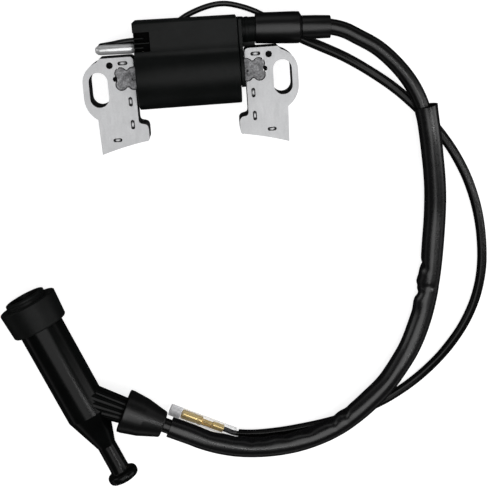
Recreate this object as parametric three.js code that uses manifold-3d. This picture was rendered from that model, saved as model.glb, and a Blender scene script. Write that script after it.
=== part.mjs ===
// Ignition coil for a small four-stroke engine, lying on its back on a flat surface.
// Millimetres. +X runs from leg to leg, +Y away from the pole faces, +Z up off the surface.
// The origin is under the middle of the coil itself, on the surface it lies on.

import * as THREE from "three";
import { mergeVertices } from "three/addons/utils/BufferGeometryUtils.js";
import Module from "manifold-3d";

const wasm = await Module();
wasm.setup();

// ---------------------------------------------------------------- driving dimensions

const CLEARANCE = 0.2; // between pieces that are pushed into each other
const OVERCUT = 1; // how far a cutting body runs past the face that it opens

// laminated core
const STACK = 14; // thickness of the lamination stack
const CORE_Y = 4.7; // axis of the centre bar
const CORE_Z = 13.5;
const BAR_HALF_WIDTH = 4;
const LEG_INNER_X = 24.2;
const LEG_OUTER_X = 47;
const LEG_TOP_Y = 14;
const LEG_TIP = { x: 41.4, y: -28 }; // outer end of the pole face
const LEG_TOE = { x: 20.1, y: -23 }; // inner end of the pole face
const POLE_RADIUS = 136; // flywheel radius plus the air gap
const SLOT = { x: 40.2, y: 0.5, width: 8.2, length: 15.2 };
const GAUGE_HOLE = { x: 34.6, y: 10.8, radius: 1.45, depth: 6 };
const STAKE_HOLE = { x: 32.6, y: 4.8, radius: 1.1 };
const KNOT = {
  outerX: 30.1,
  innerX: 24.7,
  endX: 31.8,
  lobeY: 2.4,
  lobeRadius: 2.3,
  waist: 3.45,
};
const BAR_SHOULDER_X = 23.9; // the bar is wider than its own section beyond here

// moulded housing
const HOUSING = { left: -23.2, right: 21.8, wall: 1.4, endWall: 1.6 };
const CYLINDER = { y: 4.4, z: 14.4, radius: 14.4, wall: 1.2 }; // round part about the winding
const CHAMBER = { bottom: 15.2, top: 28.5, back: 3.6, front: 25 };
const THROAT = { back: 8.5, front: 18.5 }; // joins the chamber to the round space
const COMB = {
  depthX: 7.2,
  bottom: 17.4,
  top: 24.6,
  floor: 19.9,
  wall: 0.8,
  rib: 0.7,
  shortBy: 2.4, // the rib inside each bay is shorter and lower than the bay
  lowerBy: 2,
};
const COVER = { gap: 0.2, thickness: 1.7, inset: 1, lowest: -2 };
const BOARD = { x0: -14.6, x1: 18.6, y0: 24, y1: 25.4, z0: 6.4, z1: 22 };
const WINDING = { start: 1.2, right: 19.4, flange: 0.9 }; // start is from the housing's end wall
const POTTING = { left: 19.7, gap: 0.15 };
const STRAP = { gap: 0.3, thickness: 0.5, top: 18.6, z0: 9, z1: 11.5 };

// high-tension tower, on an axis that droops a little
const TOWER = { x: 22, y: 22.2, z: 13.5, droop: THREE.MathUtils.degToRad(3) };
const TOWER_RADIUS = 5.6;
const TOWER_END = 16.5;
const TOWER_SOCKET = 4.8; // where the lead's socket starts, along the tower axis
const BOOT = { start: 7.8, end: 27.9, radius: 6.95 };
const COLLAR = { start: 28.2, end: 40.7, radius: 5.1 };
const PIN_BORE = 1.4; // the pin's hole through the cover
const LEAD_BORE = 3.9;

// stop terminal, a rolled tin-plated tube
const TERMINAL = { y: 17.05, z: 16.6, tilt: THREE.MathUtils.degToRad(178.8), length: 16.8 };
const TERMINAL_RADIUS = 2.15;
const TERMINAL_SHEET = 0.5;
const TERMINAL_STEM = { radius: 1.2, length: 2.6 };

// leads
const LEAD_RADIUS = 3.5;
const GUARD = { outer: 5, inner: 4.3, start: 93, endGap: 31.2 };
const STOP_RADIUS = 1.25;
const STOP_EXIT = { y: 20.3, z: 12 };
const STOP_GUARD = { outer: 2.3, inner: 1.75, start: 103, endGap: 11.5 };

// spark plug cap: its barrel axis and its inlet axis cross at CAP
const CAP = {
  x: -64.95,
  y: -141.34,
  z: 16.47,
  heading: THREE.MathUtils.degToRad(112.4),
  pitch: THREE.MathUtils.degToRad(3), // it leans on its mouth
  inlet: THREE.MathUtils.degToRad(-137.5),
};
const MOUTH = 50.3; // distances along the barrel axis, from CAP
const LIP_END = 53.1;
const SEAL_START = 37.1;
const SEAL_RADIUS = 13.8;
const LIP_RADIUS = 9.6;
const MOUTH_BORE = 7;
const BARREL_RADIUS = 10.8;
const BARREL_TIP = 45.2;
const BARREL_END = -10.3;
const STEM_START = -28.2;
const STEM_RADIUS = 4.6;
const KNOB = { start: -43.2, end: -47.2, radius: 7.3 };
const PLUG_WELL = { radius: 8.2, floor: 24 };
const RESISTOR_WELL = { radius: 5.1, floor: -4 };
const NECK = { rootRadius: 7, radius: 6, start: 5, taperEnd: 22, end: 33 };
const INLET_BOOT = { start: 22.7, end: 42.6, bigRadius: 10.4, smallRadius: 6.2 };
const LEAD_STOP = 14; // where the lead ends inside the neck
const SCREW = { head: 3.3, headStart: 4.6, headEnd: 5.8, shank: 1.2 };

// bullet connector on the end of the stop lead
const CONNECTOR = { x: 7, y: -173.5, z: 2.95, heading: THREE.MathUtils.degToRad(153.5) };
const CLEAR_SLEEVE = { length: 34, outer: 2.9, inner: 2.5 };
const BULLET = { start: 6.2, crimpEnd: 11.6, neckEnd: 17.6, end: 27.9, radius: 2.3 };

// The high-tension lead's centreline, from the tower's socket to the cap's lead screw.
const LEAD_ROUTE = [
  [26.9, 21.94, 13.5],
  [41.9, 21.16, 13.5],
  [54.9, 20.48, 13.5],
  [62.8, 19.95, 13.5],
  [68.9, 18.1, 13.5],
  [74.0, 15.2, 13.3],
  [83.0, 9.5, 12.9],
  [91.2, 1.5, 12.2],
  [97.8, -7.5, 11.2],
  [102.2, -17.0, 10.4],
  [105.1, -28.5, 10.0],
  [107.1, -41.0, 8.7],
  [108.3, -55.5, 6.8],
  [108.2, -70.0, 5.3],
  [106.7, -87.0, 5.1],
  [105.1, -99.5, 5.1],
  [102.6, -112.0, 5.1],
  [98.8, -124.0, 5.9],
  [93.6, -134.6, 7.3],
  [87.4, -143.4, 8.8],
  [81.4, -150.8, 9.8],
  [75.4, -156.7, 10.2],
  [67.4, -163.4, 10.3],
  [58.4, -169.7, 10.0],
  [48.4, -174.2, 10.1],
  [36.5, -176.9, 11.2],
  [21.2, -177.1, 13.4],
  [7.9, -174.6, 15.9],
  [-5.3, -169.8, 17.9],
  [-14.27, -165.06, 18.64],
  [-26.49, -159.34, 18.11],
  [-39.61, -153.2, 17.55],
  [-52.28, -147.27, 17.01],
];

// The stop lead's centreline, from inside the housing to the bullet connector's crimp.
const STOP_ROUTE = [
  [-20.8, 20.3, 12.0],
  [-28.5, 19.9, 12.0],
  [-33.6, 19.2, 11.4],
  [-37.4, 18.7, 9.2],
  [-38.7, 18.4, 6.4],
  [-37.5, 18.2, 3.4],
  [-33.8, 18.1, 1.7],
  [-20.0, 19.0, 1.3],
  [-12.5, 21.2, 1.3],
  [-6.0, 25.0, 1.3],
  [0.0, 28.7, 1.3],
  [10.0, 32.1, 1.3],
  [17.1, 32.7, 1.3],
  [24.4, 31.0, 1.3],
  [32.0, 27.7, 1.3],
  [39.3, 23.0, 1.8],
  [44.8, 18.9, 2.35],
  [50.5, 15.3, 2.35],
  [70.0, 5.2, 2.35],
  [83.4, -3.7, 2.35],
  [94.0, -12.2, 2.35],
  [105.0, -23.5, 2.35],
  [113.0, -33.6, 2.35],
  [119.2, -43.6, 2.35],
  [124.6, -55.5, 2.35],
  [128.6, -69.5, 2.35],
  [130.5, -84.5, 2.35],
  [130.2, -99.5, 2.35],
  [127.0, -113.8, 2.35],
  [120.8, -127.0, 2.35],
  [111.5, -139.5, 2.35],
  [100.2, -150.2, 2.35],
  [88.0, -158.7, 2.35],
  [75.5, -164.9, 2.35],
  [60.7, -170.2, 2.35],
  [37.0, -174.2, 2.35],
  [17.0, -175.1, 2.5],
  [7.0, -173.5, 2.95],
  [2.97, -171.49, 2.95],
  [-1.95, -169.04, 2.95],
];

// ---------------------------------------------------------------- helpers

// A geometry as a manifold-3d solid, for joining and cutting.
function solid(geometry) {
  const bare = geometry.clone();
  bare.deleteAttribute("normal");
  bare.deleteAttribute("uv");
  const merged = mergeVertices(bare, 1e-4);
  return new wasm.Manifold(
    new wasm.Mesh({
      numProp: 3,
      vertProperties: new Float32Array(merged.attributes.position.array),
      triVerts: new Uint32Array(merged.index.array),
    }),
  );
}

// A manifold-3d solid as a geometry with flat faces.
function geometryOf(body) {
  const mesh = body.getMesh();
  const geometry = new THREE.BufferGeometry();
  geometry.setAttribute("position", new THREE.BufferAttribute(mesh.vertProperties, 3));
  geometry.setIndex(new THREE.BufferAttribute(mesh.triVerts, 1));
  const flat = geometry.toNonIndexed();
  flat.computeVertexNormals();
  return flat;
}

// A block between two corners.
function block(x0, x1, y0, y1, z0, z1) {
  const geometry = new THREE.BoxGeometry(x1 - x0, y1 - y0, z1 - z0);
  return geometry.translate((x0 + x1) / 2, (y0 + y1) / 2, (z0 + z1) / 2);
}

// A round bar along Z.
function post(x, y, radius, z0, z1, sides = 16) {
  const geometry = new THREE.CylinderGeometry(radius, radius, z1 - z0, sides);
  return geometry.rotateX(Math.PI / 2).translate(x, y, (z0 + z1) / 2);
}

// A turned body about the X axis. The profile's points are [distance along X, radius],
// along the outside from start to end, then back through the bore if there is one.
function turned(profile, sides = 24) {
  const points = profile.map(([along, radius]) => new THREE.Vector2(radius, along));
  return new THREE.LatheGeometry(points, sides).rotateZ(-Math.PI / 2);
}

// A solid bar about the X axis.
function rod(start, end, radius, sides = 16) {
  return turned([[start, 0], [start, radius], [end, radius], [end, 0]], sides);
}

// A tube about the X axis.
function ring(start, end, outer, inner, sides = 24) {
  const profile = [[start, inner], [start, outer], [end, outer], [end, inner], [start, inner]];
  return turned(profile, sides);
}

// A flat outline in the YZ plane, extruded along X.
function extrudedAlongX(shape, x0, x1, curveSegments = 6) {
  const geometry = new THREE.ExtrudeGeometry(shape, {
    depth: x1 - x0,
    bevelEnabled: false,
    curveSegments,
  });
  const turn = new THREE.Matrix4().makeBasis(
    new THREE.Vector3(0, 1, 0),
    new THREE.Vector3(0, 0, 1),
    new THREE.Vector3(1, 0, 0),
  );
  return geometry.applyMatrix4(turn).translate(x0, 0, 0);
}

// A flat outline in the XY plane, extruded through the lamination stack.
function stamped(shape, growth = 0) {
  const geometry = new THREE.ExtrudeGeometry(shape, {
    depth: STACK + 2 * growth,
    bevelEnabled: false,
    curveSegments: 8,
  });
  return geometry.translate(0, 0, CORE_Z - STACK / 2 - growth);
}

// A rectangle with round corners, the core bar's section grown by an offset.
function barSection(offset, Kind = THREE.Shape) {
  const half = { y: BAR_HALF_WIDTH + offset, z: STACK / 2 + offset };
  const radius = Math.max(offset, 0.05);
  const corners = [[1, 1, 0], [-1, 1, 1], [-1, -1, 2], [1, -1, 3]];
  const outline = new Kind();
  for (const [signY, signZ, quarter] of corners) {
    outline.absarc(
      CORE_Y + signY * (half.y - radius),
      CORE_Z + signZ * (half.z - radius),
      radius,
      (quarter * Math.PI) / 2,
      ((quarter + 1) * Math.PI) / 2,
    );
  }
  outline.closePath();
  return outline;
}

// A square-cornered opening that the core bar passes through.
function barOpening(x0, x1) {
  const halfY = BAR_HALF_WIDTH + CLEARANCE;
  const halfZ = STACK / 2 + CLEARANCE;
  return solid(block(x0, x1, CORE_Y - halfY, CORE_Y + halfY, CORE_Z - halfZ, CORE_Z + halfZ));
}

// A tube with round-cornered walls that surrounds the core bar.
function barSleeve(inner, outer, x0, x1) {
  const section = barSection(outer);
  section.holes.push(barSection(inner, THREE.Path));
  return extrudedAlongX(section, x0, x1, 4);
}

// A round section for a lead, with a bore if it is a hollow tube.
function roundSection(radius, bore, sides) {
  const circle = (Kind, r) => {
    const corners = [];
    for (let side = 0; side < sides; side++) {
      const angle = (side * 2 * Math.PI) / sides;
      corners.push(new THREE.Vector2(r * Math.cos(angle), r * Math.sin(angle)));
    }
    return new Kind(corners);
  };
  const section = circle(THREE.Shape, radius);
  if (bore > 0) section.holes.push(circle(THREE.Path, bore));
  return section;
}

// The stretch of a curve between two distances along it.
class Stretch extends THREE.Curve {
  constructor(whole, from, to) {
    super();
    this.whole = whole;
    this.from = from / whole.getLength();
    this.to = to / whole.getLength();
  }

  getPoint(t, target = new THREE.Vector3()) {
    return this.whole.getPointAt(THREE.MathUtils.lerp(this.from, this.to, t), target);
  }
}

function routeCurve(route) {
  const points = route.map(([x, y, z]) => new THREE.Vector3(x, y, z));
  const curve = new THREE.CatmullRomCurve3(points, false, "centripetal");
  curve.arcLengthDivisions = 1200;
  return curve;
}

function swept(curve, steps, radius, bore, sides) {
  return new THREE.ExtrudeGeometry(roundSection(radius, bore, sides), {
    steps,
    extrudePath: curve,
    bevelEnabled: false,
    curveSegments: 1,
  });
}

// ---------------------------------------------------------------- materials

function material(color, roughness, metalness = 0) {
  return new THREE.MeshStandardMaterial({ color, roughness, metalness });
}

const steel = () => material("#b9bcbe", 0.38, 0.9);
const darkSteel = () => material("#77777b", 0.6, 0.8);
const blackPlastic = () => material("#1d1f1f", 0.45);
const blackRubber = () => material("#161616", 0.6);
const blackVinyl = () => material("#121313", 0.35);
const resin = () => material("#2a2622", 0.4);
const copper = () => material("#b5652f", 0.35, 0.9);
const nylon = () => material("#d8d4c6", 0.5);
const brass = () => material("#c79a4b", 0.3, 0.95);
const tin = () => material("#e3e4e6", 0.22, 0.95);
const boardGreen = () => material("#2f5f3a", 0.5);
const ceramic = () => material("#cfc6b4", 0.5);
const clearVinyl = () => material("#d9d9dc", 0.25);

// ---------------------------------------------------------------- assembly

const part = new THREE.Group();

function add(group, name, geometry, surface) {
  const mesh = new THREE.Mesh(geometry, surface);
  mesh.name = name;
  group.add(mesh);
  return mesh;
}

// --- laminated core

const stackBottom = CORE_Z - STACK / 2;
const stackTop = CORE_Z + STACK / 2;

// The bar with its two puzzle-shaped ends, grown by a clearance when it cuts the legs.
function coreBarSolid(growth = 0) {
  const z0 = stackBottom - (growth ? OVERCUT : 0);
  const z1 = stackTop + (growth ? OVERCUT : 0);
  const across = (halfWidth) => [CORE_Y - halfWidth, CORE_Y + halfWidth];
  let bar = solid(
    block(-BAR_SHOULDER_X, BAR_SHOULDER_X, ...across(BAR_HALF_WIDTH + growth), z0, z1),
  );
  for (const side of [-1, 1]) {
    const ends = [side * BAR_SHOULDER_X, side * (KNOT.endX + growth)];
    const [x0, x1] = ends.sort((a, b) => a - b);
    let knot = solid(block(x0, x1, ...across(KNOT.waist + growth), z0, z1));
    for (const x of [side * KNOT.innerX, side * KNOT.outerX]) {
      for (const y of across(KNOT.lobeY)) {
        knot = knot.add(solid(post(x, y, KNOT.lobeRadius + growth, z0, z1)));
      }
    }
    const outer = [side * (BAR_SHOULDER_X - growth), side * 40];
    const [clip0, clip1] = outer.sort((a, b) => a - b);
    bar = bar.add(knot.intersect(solid(block(clip0, clip1, ...across(20), z0, z1))));
  }
  return bar;
}

// One leg, drawn for the right side: bolt slot outside, pole face below.
function legOutline() {
  const outline = new THREE.Shape();
  const corner = 2;
  const centreY = LEG_TIP.y - Math.sqrt(POLE_RADIUS ** 2 - LEG_TIP.x ** 2);
  const tipAngle = Math.atan2(LEG_TIP.y - centreY, LEG_TIP.x);
  const heelX = LEG_TOE.x + 1.6;
  const heelAngle = Math.acos(heelX / POLE_RADIUS);
  outline.moveTo(LEG_INNER_X, LEG_TOP_Y - corner);
  outline.lineTo(LEG_INNER_X, -13.5);
  outline.quadraticCurveTo(LEG_INNER_X, -15, LEG_INNER_X - 1.6, -15.6);
  outline.quadraticCurveTo(LEG_TOE.x, -16.4, LEG_TOE.x, -18);
  outline.lineTo(LEG_TOE.x, LEG_TOE.y + 1);
  outline.lineTo(heelX, centreY + POLE_RADIUS * Math.sin(heelAngle));
  outline.absarc(0, centreY, POLE_RADIUS, heelAngle, tipAngle, true);
  outline.lineTo(LEG_TIP.x + 0.4, LEG_TIP.y + 0.7);
  outline.lineTo(41.8, -12.4);
  outline.bezierCurveTo(44.6, -10.4, LEG_OUTER_X, -7.5, LEG_OUTER_X, -2.5);
  outline.lineTo(LEG_OUTER_X, 3.5);
  outline.bezierCurveTo(LEG_OUTER_X, 7.6, 44.4, 10.6, 41.2, 12);
  outline.quadraticCurveTo(39.9, 12.5, 39.5, 13.2);
  outline.quadraticCurveTo(39.2, LEG_TOP_Y, 38.4, LEG_TOP_Y);
  outline.lineTo(LEG_INNER_X + corner, LEG_TOP_Y);
  outline.quadraticCurveTo(LEG_INNER_X, LEG_TOP_Y, LEG_INNER_X, LEG_TOP_Y - corner);
  outline.holes.push(slotPath());
  return outline;
}

function slotPath() {
  const path = new THREE.Path();
  const radius = SLOT.width / 2;
  const half = SLOT.length / 2 - radius;
  path.absarc(SLOT.x, SLOT.y + half, radius, 0, Math.PI);
  path.absarc(SLOT.x, SLOT.y - half, radius, Math.PI, 2 * Math.PI);
  path.closePath();
  return path;
}

function addCore() {
  const bar = coreBarSolid();
  const pocket = coreBarSolid(CLEARANCE);
  const stake = solid(
    post(STAKE_HOLE.x, STAKE_HOLE.y, STAKE_HOLE.radius, 0, stackTop + OVERCUT, 10),
  );
  const { x, y, radius, depth } = GAUGE_HOLE;
  const gauge = solid(post(x, y, radius, stackTop - depth, stackTop + OVERCUT));
  const rightLeg = [stake, gauge, pocket].reduce(
    (leg, hole) => leg.subtract(hole),
    solid(stamped(legOutline())),
  );
  const mirror = new THREE.Matrix4().makeScale(-1, 1, 1);
  const leftShape = geometryOf(rightLeg).applyMatrix4(mirror);
  add(part, "core_leg_right", geometryOf(rightLeg), steel());
  add(part, "core_leg_left", flipped(leftShape), steel());
  add(part, "core_bar", geometryOf(bar), darkSteel());
}

// A mirrored geometry has its faces turned round, so each triangle's order is reversed.
function flipped(geometry) {
  const position = geometry.attributes.position;
  const swap = new THREE.Vector3();
  const keep = new THREE.Vector3();
  for (let i = 0; i < position.count; i += 3) {
    swap.fromBufferAttribute(position, i + 1);
    keep.fromBufferAttribute(position, i + 2);
    position.setXYZ(i + 1, keep.x, keep.y, keep.z);
    position.setXYZ(i + 2, swap.x, swap.y, swap.z);
  }
  geometry.computeVertexNormals();
  return geometry;
}

// --- housing and what is potted into it

function roundPart(x0, x1, inset = 0) {
  return rod(x0, x1, CYLINDER.radius - inset, 40).translate(0, CYLINDER.y, CYLINDER.z);
}

// The space inside the housing: round about the core, square in the chamber above it.
function cavitySolid(x0, x1, fit = 0) {
  const { bottom, top, back, front } = CHAMBER;
  const inset = HOUSING.wall + fit;
  const chamber = block(x0, x1, bottom + inset, top - inset, back + inset, front - inset);
  const throatTop = bottom + inset + OVERCUT;
  const throat = block(x0, x1, CORE_Y, throatTop, THROAT.back + fit, THROAT.front - fit);
  return solid(roundPart(x0, x1, CYLINDER.wall + fit))
    .add(solid(chamber))
    .add(solid(throat));
}

function addHousing() {
  const { left, right, endWall } = HOUSING;
  const { bottom, top, back, front } = CHAMBER;
  const inside = left + endWall;
  const holes = [
    rod(left - OVERCUT, inside + OVERCUT, TERMINAL_STEM.radius + 0.3, 12)
      .translate(0, TERMINAL.y, TERMINAL.z),
    rod(left - OVERCUT, inside + OVERCUT, STOP_RADIUS + 0.3, 12)
      .translate(0, STOP_EXIT.y, STOP_EXIT.z),
  ];
  let shell = solid(roundPart(left, right))
    .add(solid(block(left, right, bottom, top, back, front)))
    .subtract(cavitySolid(inside, right + OVERCUT))
    .subtract(barOpening(left - OVERCUT, inside + OVERCUT));
  shell = addComb(shell);
  for (const hole of holes) shell = shell.subtract(solid(hole));
  add(part, "housing", geometryOf(shell), blackPlastic());
}

// The two open bays in the chamber's front left corner, with ribs between and inside them.
function addComb(shell) {
  const { left } = HOUSING;
  const { depthX, bottom, top, floor, wall, rib, shortBy, lowerBy } = COMB;
  const right = left + depthX;
  const body = block(
    left + 0.5, right + wall, bottom - wall, top + wall, floor - wall, CHAMBER.front - 0.2,
  );
  const middle = (bottom + top) / 2;
  let result = shell.add(solid(body));
  const bays = [[bottom, middle - rib / 2], [middle + rib / 2, top]];
  for (const [y0, y1] of bays) {
    const bay = block(left - OVERCUT, right, y0, y1, floor, CHAMBER.front + OVERCUT);
    result = result.subtract(solid(bay));
    const ribY = (y0 + y1 - rib) / 2;
    const ribTop = CHAMBER.front - lowerBy;
    const shortRib = block(left, right - shortBy, ribY, ribY + rib, floor - 0.5, ribTop);
    result = result.add(solid(shortRib));
  }
  return result;
}

function towerMatrix() {
  return new THREE.Matrix4()
    .makeTranslation(TOWER.x, TOWER.y, TOWER.z)
    .multiply(new THREE.Matrix4().makeRotationZ(-TOWER.droop));
}

// The end cover that closes the housing and carries the high-tension tower.
function addTowerCover() {
  const x0 = HOUSING.right + COVER.gap;
  const x1 = x0 + COVER.thickness;
  const matrix = towerMatrix();
  const { bottom, top, back, front } = CHAMBER;
  const { inset } = COVER;
  const chamberEnd = block(x0, x1, bottom, top - inset, back + inset, front - inset);
  let cover = solid(roundPart(x0, x1, inset)).add(solid(chamberEnd));
  const below = block(x0 - OVERCUT, x1 + OVERCUT, -20, COVER.lowest, -5, 35);
  cover = cover.subtract(solid(below));
  cover = cover.add(solid(rod(0.5, TOWER_END, TOWER_RADIUS, 24).applyMatrix4(matrix)));
  cover = cover.subtract(solid(block(0, x0, 0, 40, 0, 30)));
  cover = cover.subtract(barOpening(x0 - OVERCUT, x1 + OVERCUT));
  const bores = [
    rod(TOWER_SOCKET, TOWER_END + OVERCUT, LEAD_BORE),
    rod(-2, TOWER_SOCKET + OVERCUT, PIN_BORE),
  ];
  for (const bore of bores) cover = cover.subtract(solid(bore.applyMatrix4(matrix)));
  add(part, "tower_cover", geometryOf(cover), blackPlastic());
}

function addPotting() {
  const x0 = POTTING.left;
  const x1 = HOUSING.right - CLEARANCE;
  const potting = cavitySolid(x0, x1, POTTING.gap)
    .subtract(barOpening(x0 - OVERCUT, x1 + OVERCUT))
    .subtract(solid(rod(-6, 2, PIN_BORE, 12).applyMatrix4(towerMatrix())));
  add(part, "epoxy_potting", geometryOf(potting), resin());
}

function addWindings() {
  const { start, right, flange } = WINDING;
  const left = HOUSING.left + HOUSING.endWall + start;
  add(part, "primary_bobbin", barSleeve(0.2, 0.8, left, right), nylon());
  add(part, "primary_winding", barSleeve(0.95, 2, left + flange, right - flange), copper());
  let bobbin = solid(barSleeve(2.15, 2.75, left, right));
  for (const x of [left, right - flange]) {
    const disc = solid(roundPart(x, x + flange, CYLINDER.wall + 0.1));
    const opening = solid(extrudedAlongX(barSection(2.15), x - OVERCUT, x + flange + OVERCUT, 4));
    bobbin = bobbin.add(disc.subtract(opening));
  }
  add(part, "secondary_bobbin", geometryOf(bobbin), nylon());
  const inner = { x0: left + flange + CLEARANCE, x1: right - flange - CLEARANCE };
  add(part, "secondary_winding", barSleeve(2.9, 4, inner.x0, inner.x1), copper());
}

function addElectronics() {
  const { x0, x1, y0, y1, z0, z1 } = BOARD;
  add(part, "control_board", block(x0, x1, y0, y1, z0, z1), boardGreen());
  const transistor = block(-13, -3, 19.4, y0 - CLEARANCE, 9, 19);
  add(part, "power_transistor", transistor, blackPlastic());
  const smallParts = [["protection_diode", 9, 1.4], ["base_resistor", 17, 1.2]];
  for (const [name, z, radius] of smallParts) {
    const body = rod(1, 8, radius, 12).translate(0, y0 - radius - CLEARANCE, z);
    add(part, name, body, blackPlastic());
  }
  const strapX = HOUSING.left + HOUSING.endWall + STRAP.gap;
  const strapY = CORE_Y + BAR_HALF_WIDTH + STRAP.gap;
  const strapEnd = strapX + STRAP.thickness;
  const strap = block(strapX, strapEnd, strapY, STRAP.top, STRAP.z0, STRAP.z1);
  add(part, "ground_strap", strap, brass());
  const pin = rod(-5, TOWER_SOCKET - 0.3, 1, 12).applyMatrix4(towerMatrix());
  add(part, "tower_pin", pin, brass());
}

// The rolled tube has a lengthways seam, open towards the front.
function addStopTerminal() {
  const group = new THREE.Group();
  group.position.set(HOUSING.left - 0.3, TERMINAL.y, TERMINAL.z);
  group.rotation.z = TERMINAL.tilt;
  part.add(group);
  const outer = TERMINAL_RADIUS;
  const bore = outer - TERMINAL_SHEET;
  const { length } = TERMINAL;
  const profile = [
    [-TERMINAL_STEM.length, 0],
    [-TERMINAL_STEM.length, TERMINAL_STEM.radius],
    [0, TERMINAL_STEM.radius],
    [0, outer],
    [length - 1.2, outer],
    [length, bore + 0.1],
    [length, bore],
    [length * 0.2, bore],
    [length * 0.2, 0],
  ];
  const tube = solid(turned(profile, 20));
  const seam = block(length * 0.25, length + OVERCUT, -1.5, -1.1, 0, outer + OVERCUT);
  add(group, "stop_terminal", geometryOf(tube.subtract(solid(seam))), tin());
}

// --- what is on the high-tension lead at the coil

function addTowerBoot() {
  const group = new THREE.Group();
  group.position.set(TOWER.x, TOWER.y, TOWER.z);
  group.rotation.z = -TOWER.droop;
  part.add(group);
  const { start, end, radius } = BOOT;
  const boot = [
    [start, TOWER_RADIUS + CLEARANCE],
    [start, radius],
    [end - 1, radius],
    [end, radius - 1.2],
    [end, LEAD_BORE],
    [TOWER_END + 0.4, LEAD_BORE],
    [TOWER_END + 0.4, TOWER_RADIUS + CLEARANCE],
    [start, TOWER_RADIUS + CLEARANCE],
  ];
  add(group, "tower_boot", turned(boot, 24), blackRubber());
  const collar = ring(COLLAR.start, COLLAR.end, COLLAR.radius, LEAD_BORE);
  add(group, "lead_collar", collar, blackRubber());
}

// --- leads

function addLeads() {
  const lead = routeCurve(LEAD_ROUTE);
  add(part, "ht_lead", swept(lead, 48, LEAD_RADIUS, 0, 10), blackRubber());
  const guard = new Stretch(lead, GUARD.start, lead.getLength() - GUARD.endGap);
  add(part, "ht_lead_guard", swept(guard, 32, GUARD.outer, GUARD.inner, 10), blackVinyl());
  const stop = routeCurve(STOP_ROUTE);
  add(part, "stop_lead", swept(stop, 80, STOP_RADIUS, 0, 8), blackVinyl());
  const cover = new Stretch(stop, STOP_GUARD.start, stop.getLength() - STOP_GUARD.endGap);
  const { outer, inner } = STOP_GUARD;
  add(part, "stop_lead_guard", swept(cover, 46, outer, inner, 8), blackVinyl());
}

function addConnector() {
  const group = new THREE.Group();
  group.position.set(CONNECTOR.x, CONNECTOR.y, CONNECTOR.z);
  group.rotation.z = CONNECTOR.heading;
  part.add(group);
  const { start, crimpEnd, neckEnd, end, radius } = BULLET;
  const crimp = { radius: 1.9, bore: 1.45, depth: 4.4 };
  const barrelBore = radius - 0.4;
  const profile = [
    [start + crimp.depth, 0],
    [start + crimp.depth, crimp.bore],
    [start, crimp.bore],
    [start, crimp.radius],
    [crimpEnd, crimp.radius],
    [crimpEnd, 1.3],
    [neckEnd, 1.3],
    [neckEnd, radius],
    [end, radius],
    [end, barrelBore],
    [neckEnd + 0.8, barrelBore],
    [neckEnd + 0.8, 0],
  ];
  add(group, "bullet_socket", turned(profile, 16), brass());
  const { length, outer, inner } = CLEAR_SLEEVE;
  add(group, "clear_sleeve", ring(0, length, outer, inner, 20), clearVinyl());
}

// --- spark plug cap, in a frame whose +X points out of its mouth

function addCap() {
  const group = new THREE.Group();
  group.position.set(CAP.x, CAP.y, CAP.z);
  group.rotation.set(0, CAP.pitch, CAP.heading, "ZYX");
  part.add(group);
  const inlet = new THREE.Group();
  inlet.rotation.z = CAP.inlet;
  group.add(inlet);
  addCapShell(group);
  addCapSeal(group);
  addInletBoot(inlet);
  addCapContacts(group, inlet);
}

function addCapShell(group) {
  const turn = new THREE.Matrix4().makeRotationZ(CAP.inlet);
  const barrel = [
    [KNOB.end, 0],
    [KNOB.end, KNOB.radius - 1],
    [KNOB.end + 1, KNOB.radius],
    [KNOB.start - 0.6, KNOB.radius],
    [KNOB.start, STEM_RADIUS],
    [STEM_START, STEM_RADIUS],
    [BARREL_END, BARREL_RADIUS],
    [BARREL_TIP, BARREL_RADIUS],
    [BARREL_TIP, 0],
  ];
  const neck = [
    [0, 0],
    [0, NECK.rootRadius],
    [NECK.start, NECK.rootRadius],
    [NECK.taperEnd, NECK.radius],
    [NECK.end, NECK.radius],
    [NECK.end, 0],
  ];
  let shell = solid(turned(barrel, 28));
  shell = shell.add(solid(turned(neck, 20).applyMatrix4(turn)));
  const wells = [
    rod(PLUG_WELL.floor, BARREL_TIP + OVERCUT, PLUG_WELL.radius, 24),
    rod(RESISTOR_WELL.floor, PLUG_WELL.floor + OVERCUT, RESISTOR_WELL.radius, 20),
    rod(2, SCREW.headEnd + 0.3, LEAD_BORE).applyMatrix4(turn),
    rod(SCREW.headEnd, LEAD_STOP, 2.2).applyMatrix4(turn),
    rod(LEAD_STOP - 0.2, NECK.end + OVERCUT, LEAD_BORE).applyMatrix4(turn),
  ];
  for (const well of wells) shell = shell.subtract(solid(well));
  add(group, "cap_shell", geometryOf(shell), blackPlastic());
}

function addCapSeal(group) {
  const pocket = BARREL_RADIUS + 0.3;
  const floor = BARREL_TIP + 0.3;
  const profile = [
    [SEAL_START, pocket],
    [SEAL_START, SEAL_RADIUS],
    [MOUTH, SEAL_RADIUS],
    [MOUTH, LIP_RADIUS],
    [LIP_END, LIP_RADIUS],
    [LIP_END, MOUTH_BORE],
    [floor, MOUTH_BORE],
    [floor, pocket],
    [SEAL_START, pocket],
  ];
  add(group, "cap_seal", turned(profile, 28), blackRubber());
}

function addInletBoot(inlet) {
  const { start, end, bigRadius, smallRadius } = INLET_BOOT;
  const pocket = NECK.radius + 0.3;
  const profile = [
    [start, pocket],
    [start, bigRadius - 0.4],
    [start + 1, bigRadius],
    [end, smallRadius],
    [end, LEAD_BORE],
    [NECK.end + 0.3, LEAD_BORE],
    [NECK.end + 0.3, pocket],
    [start, pocket],
  ];
  add(inlet, "inlet_boot", turned(profile, 24), blackRubber());
}

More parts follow.
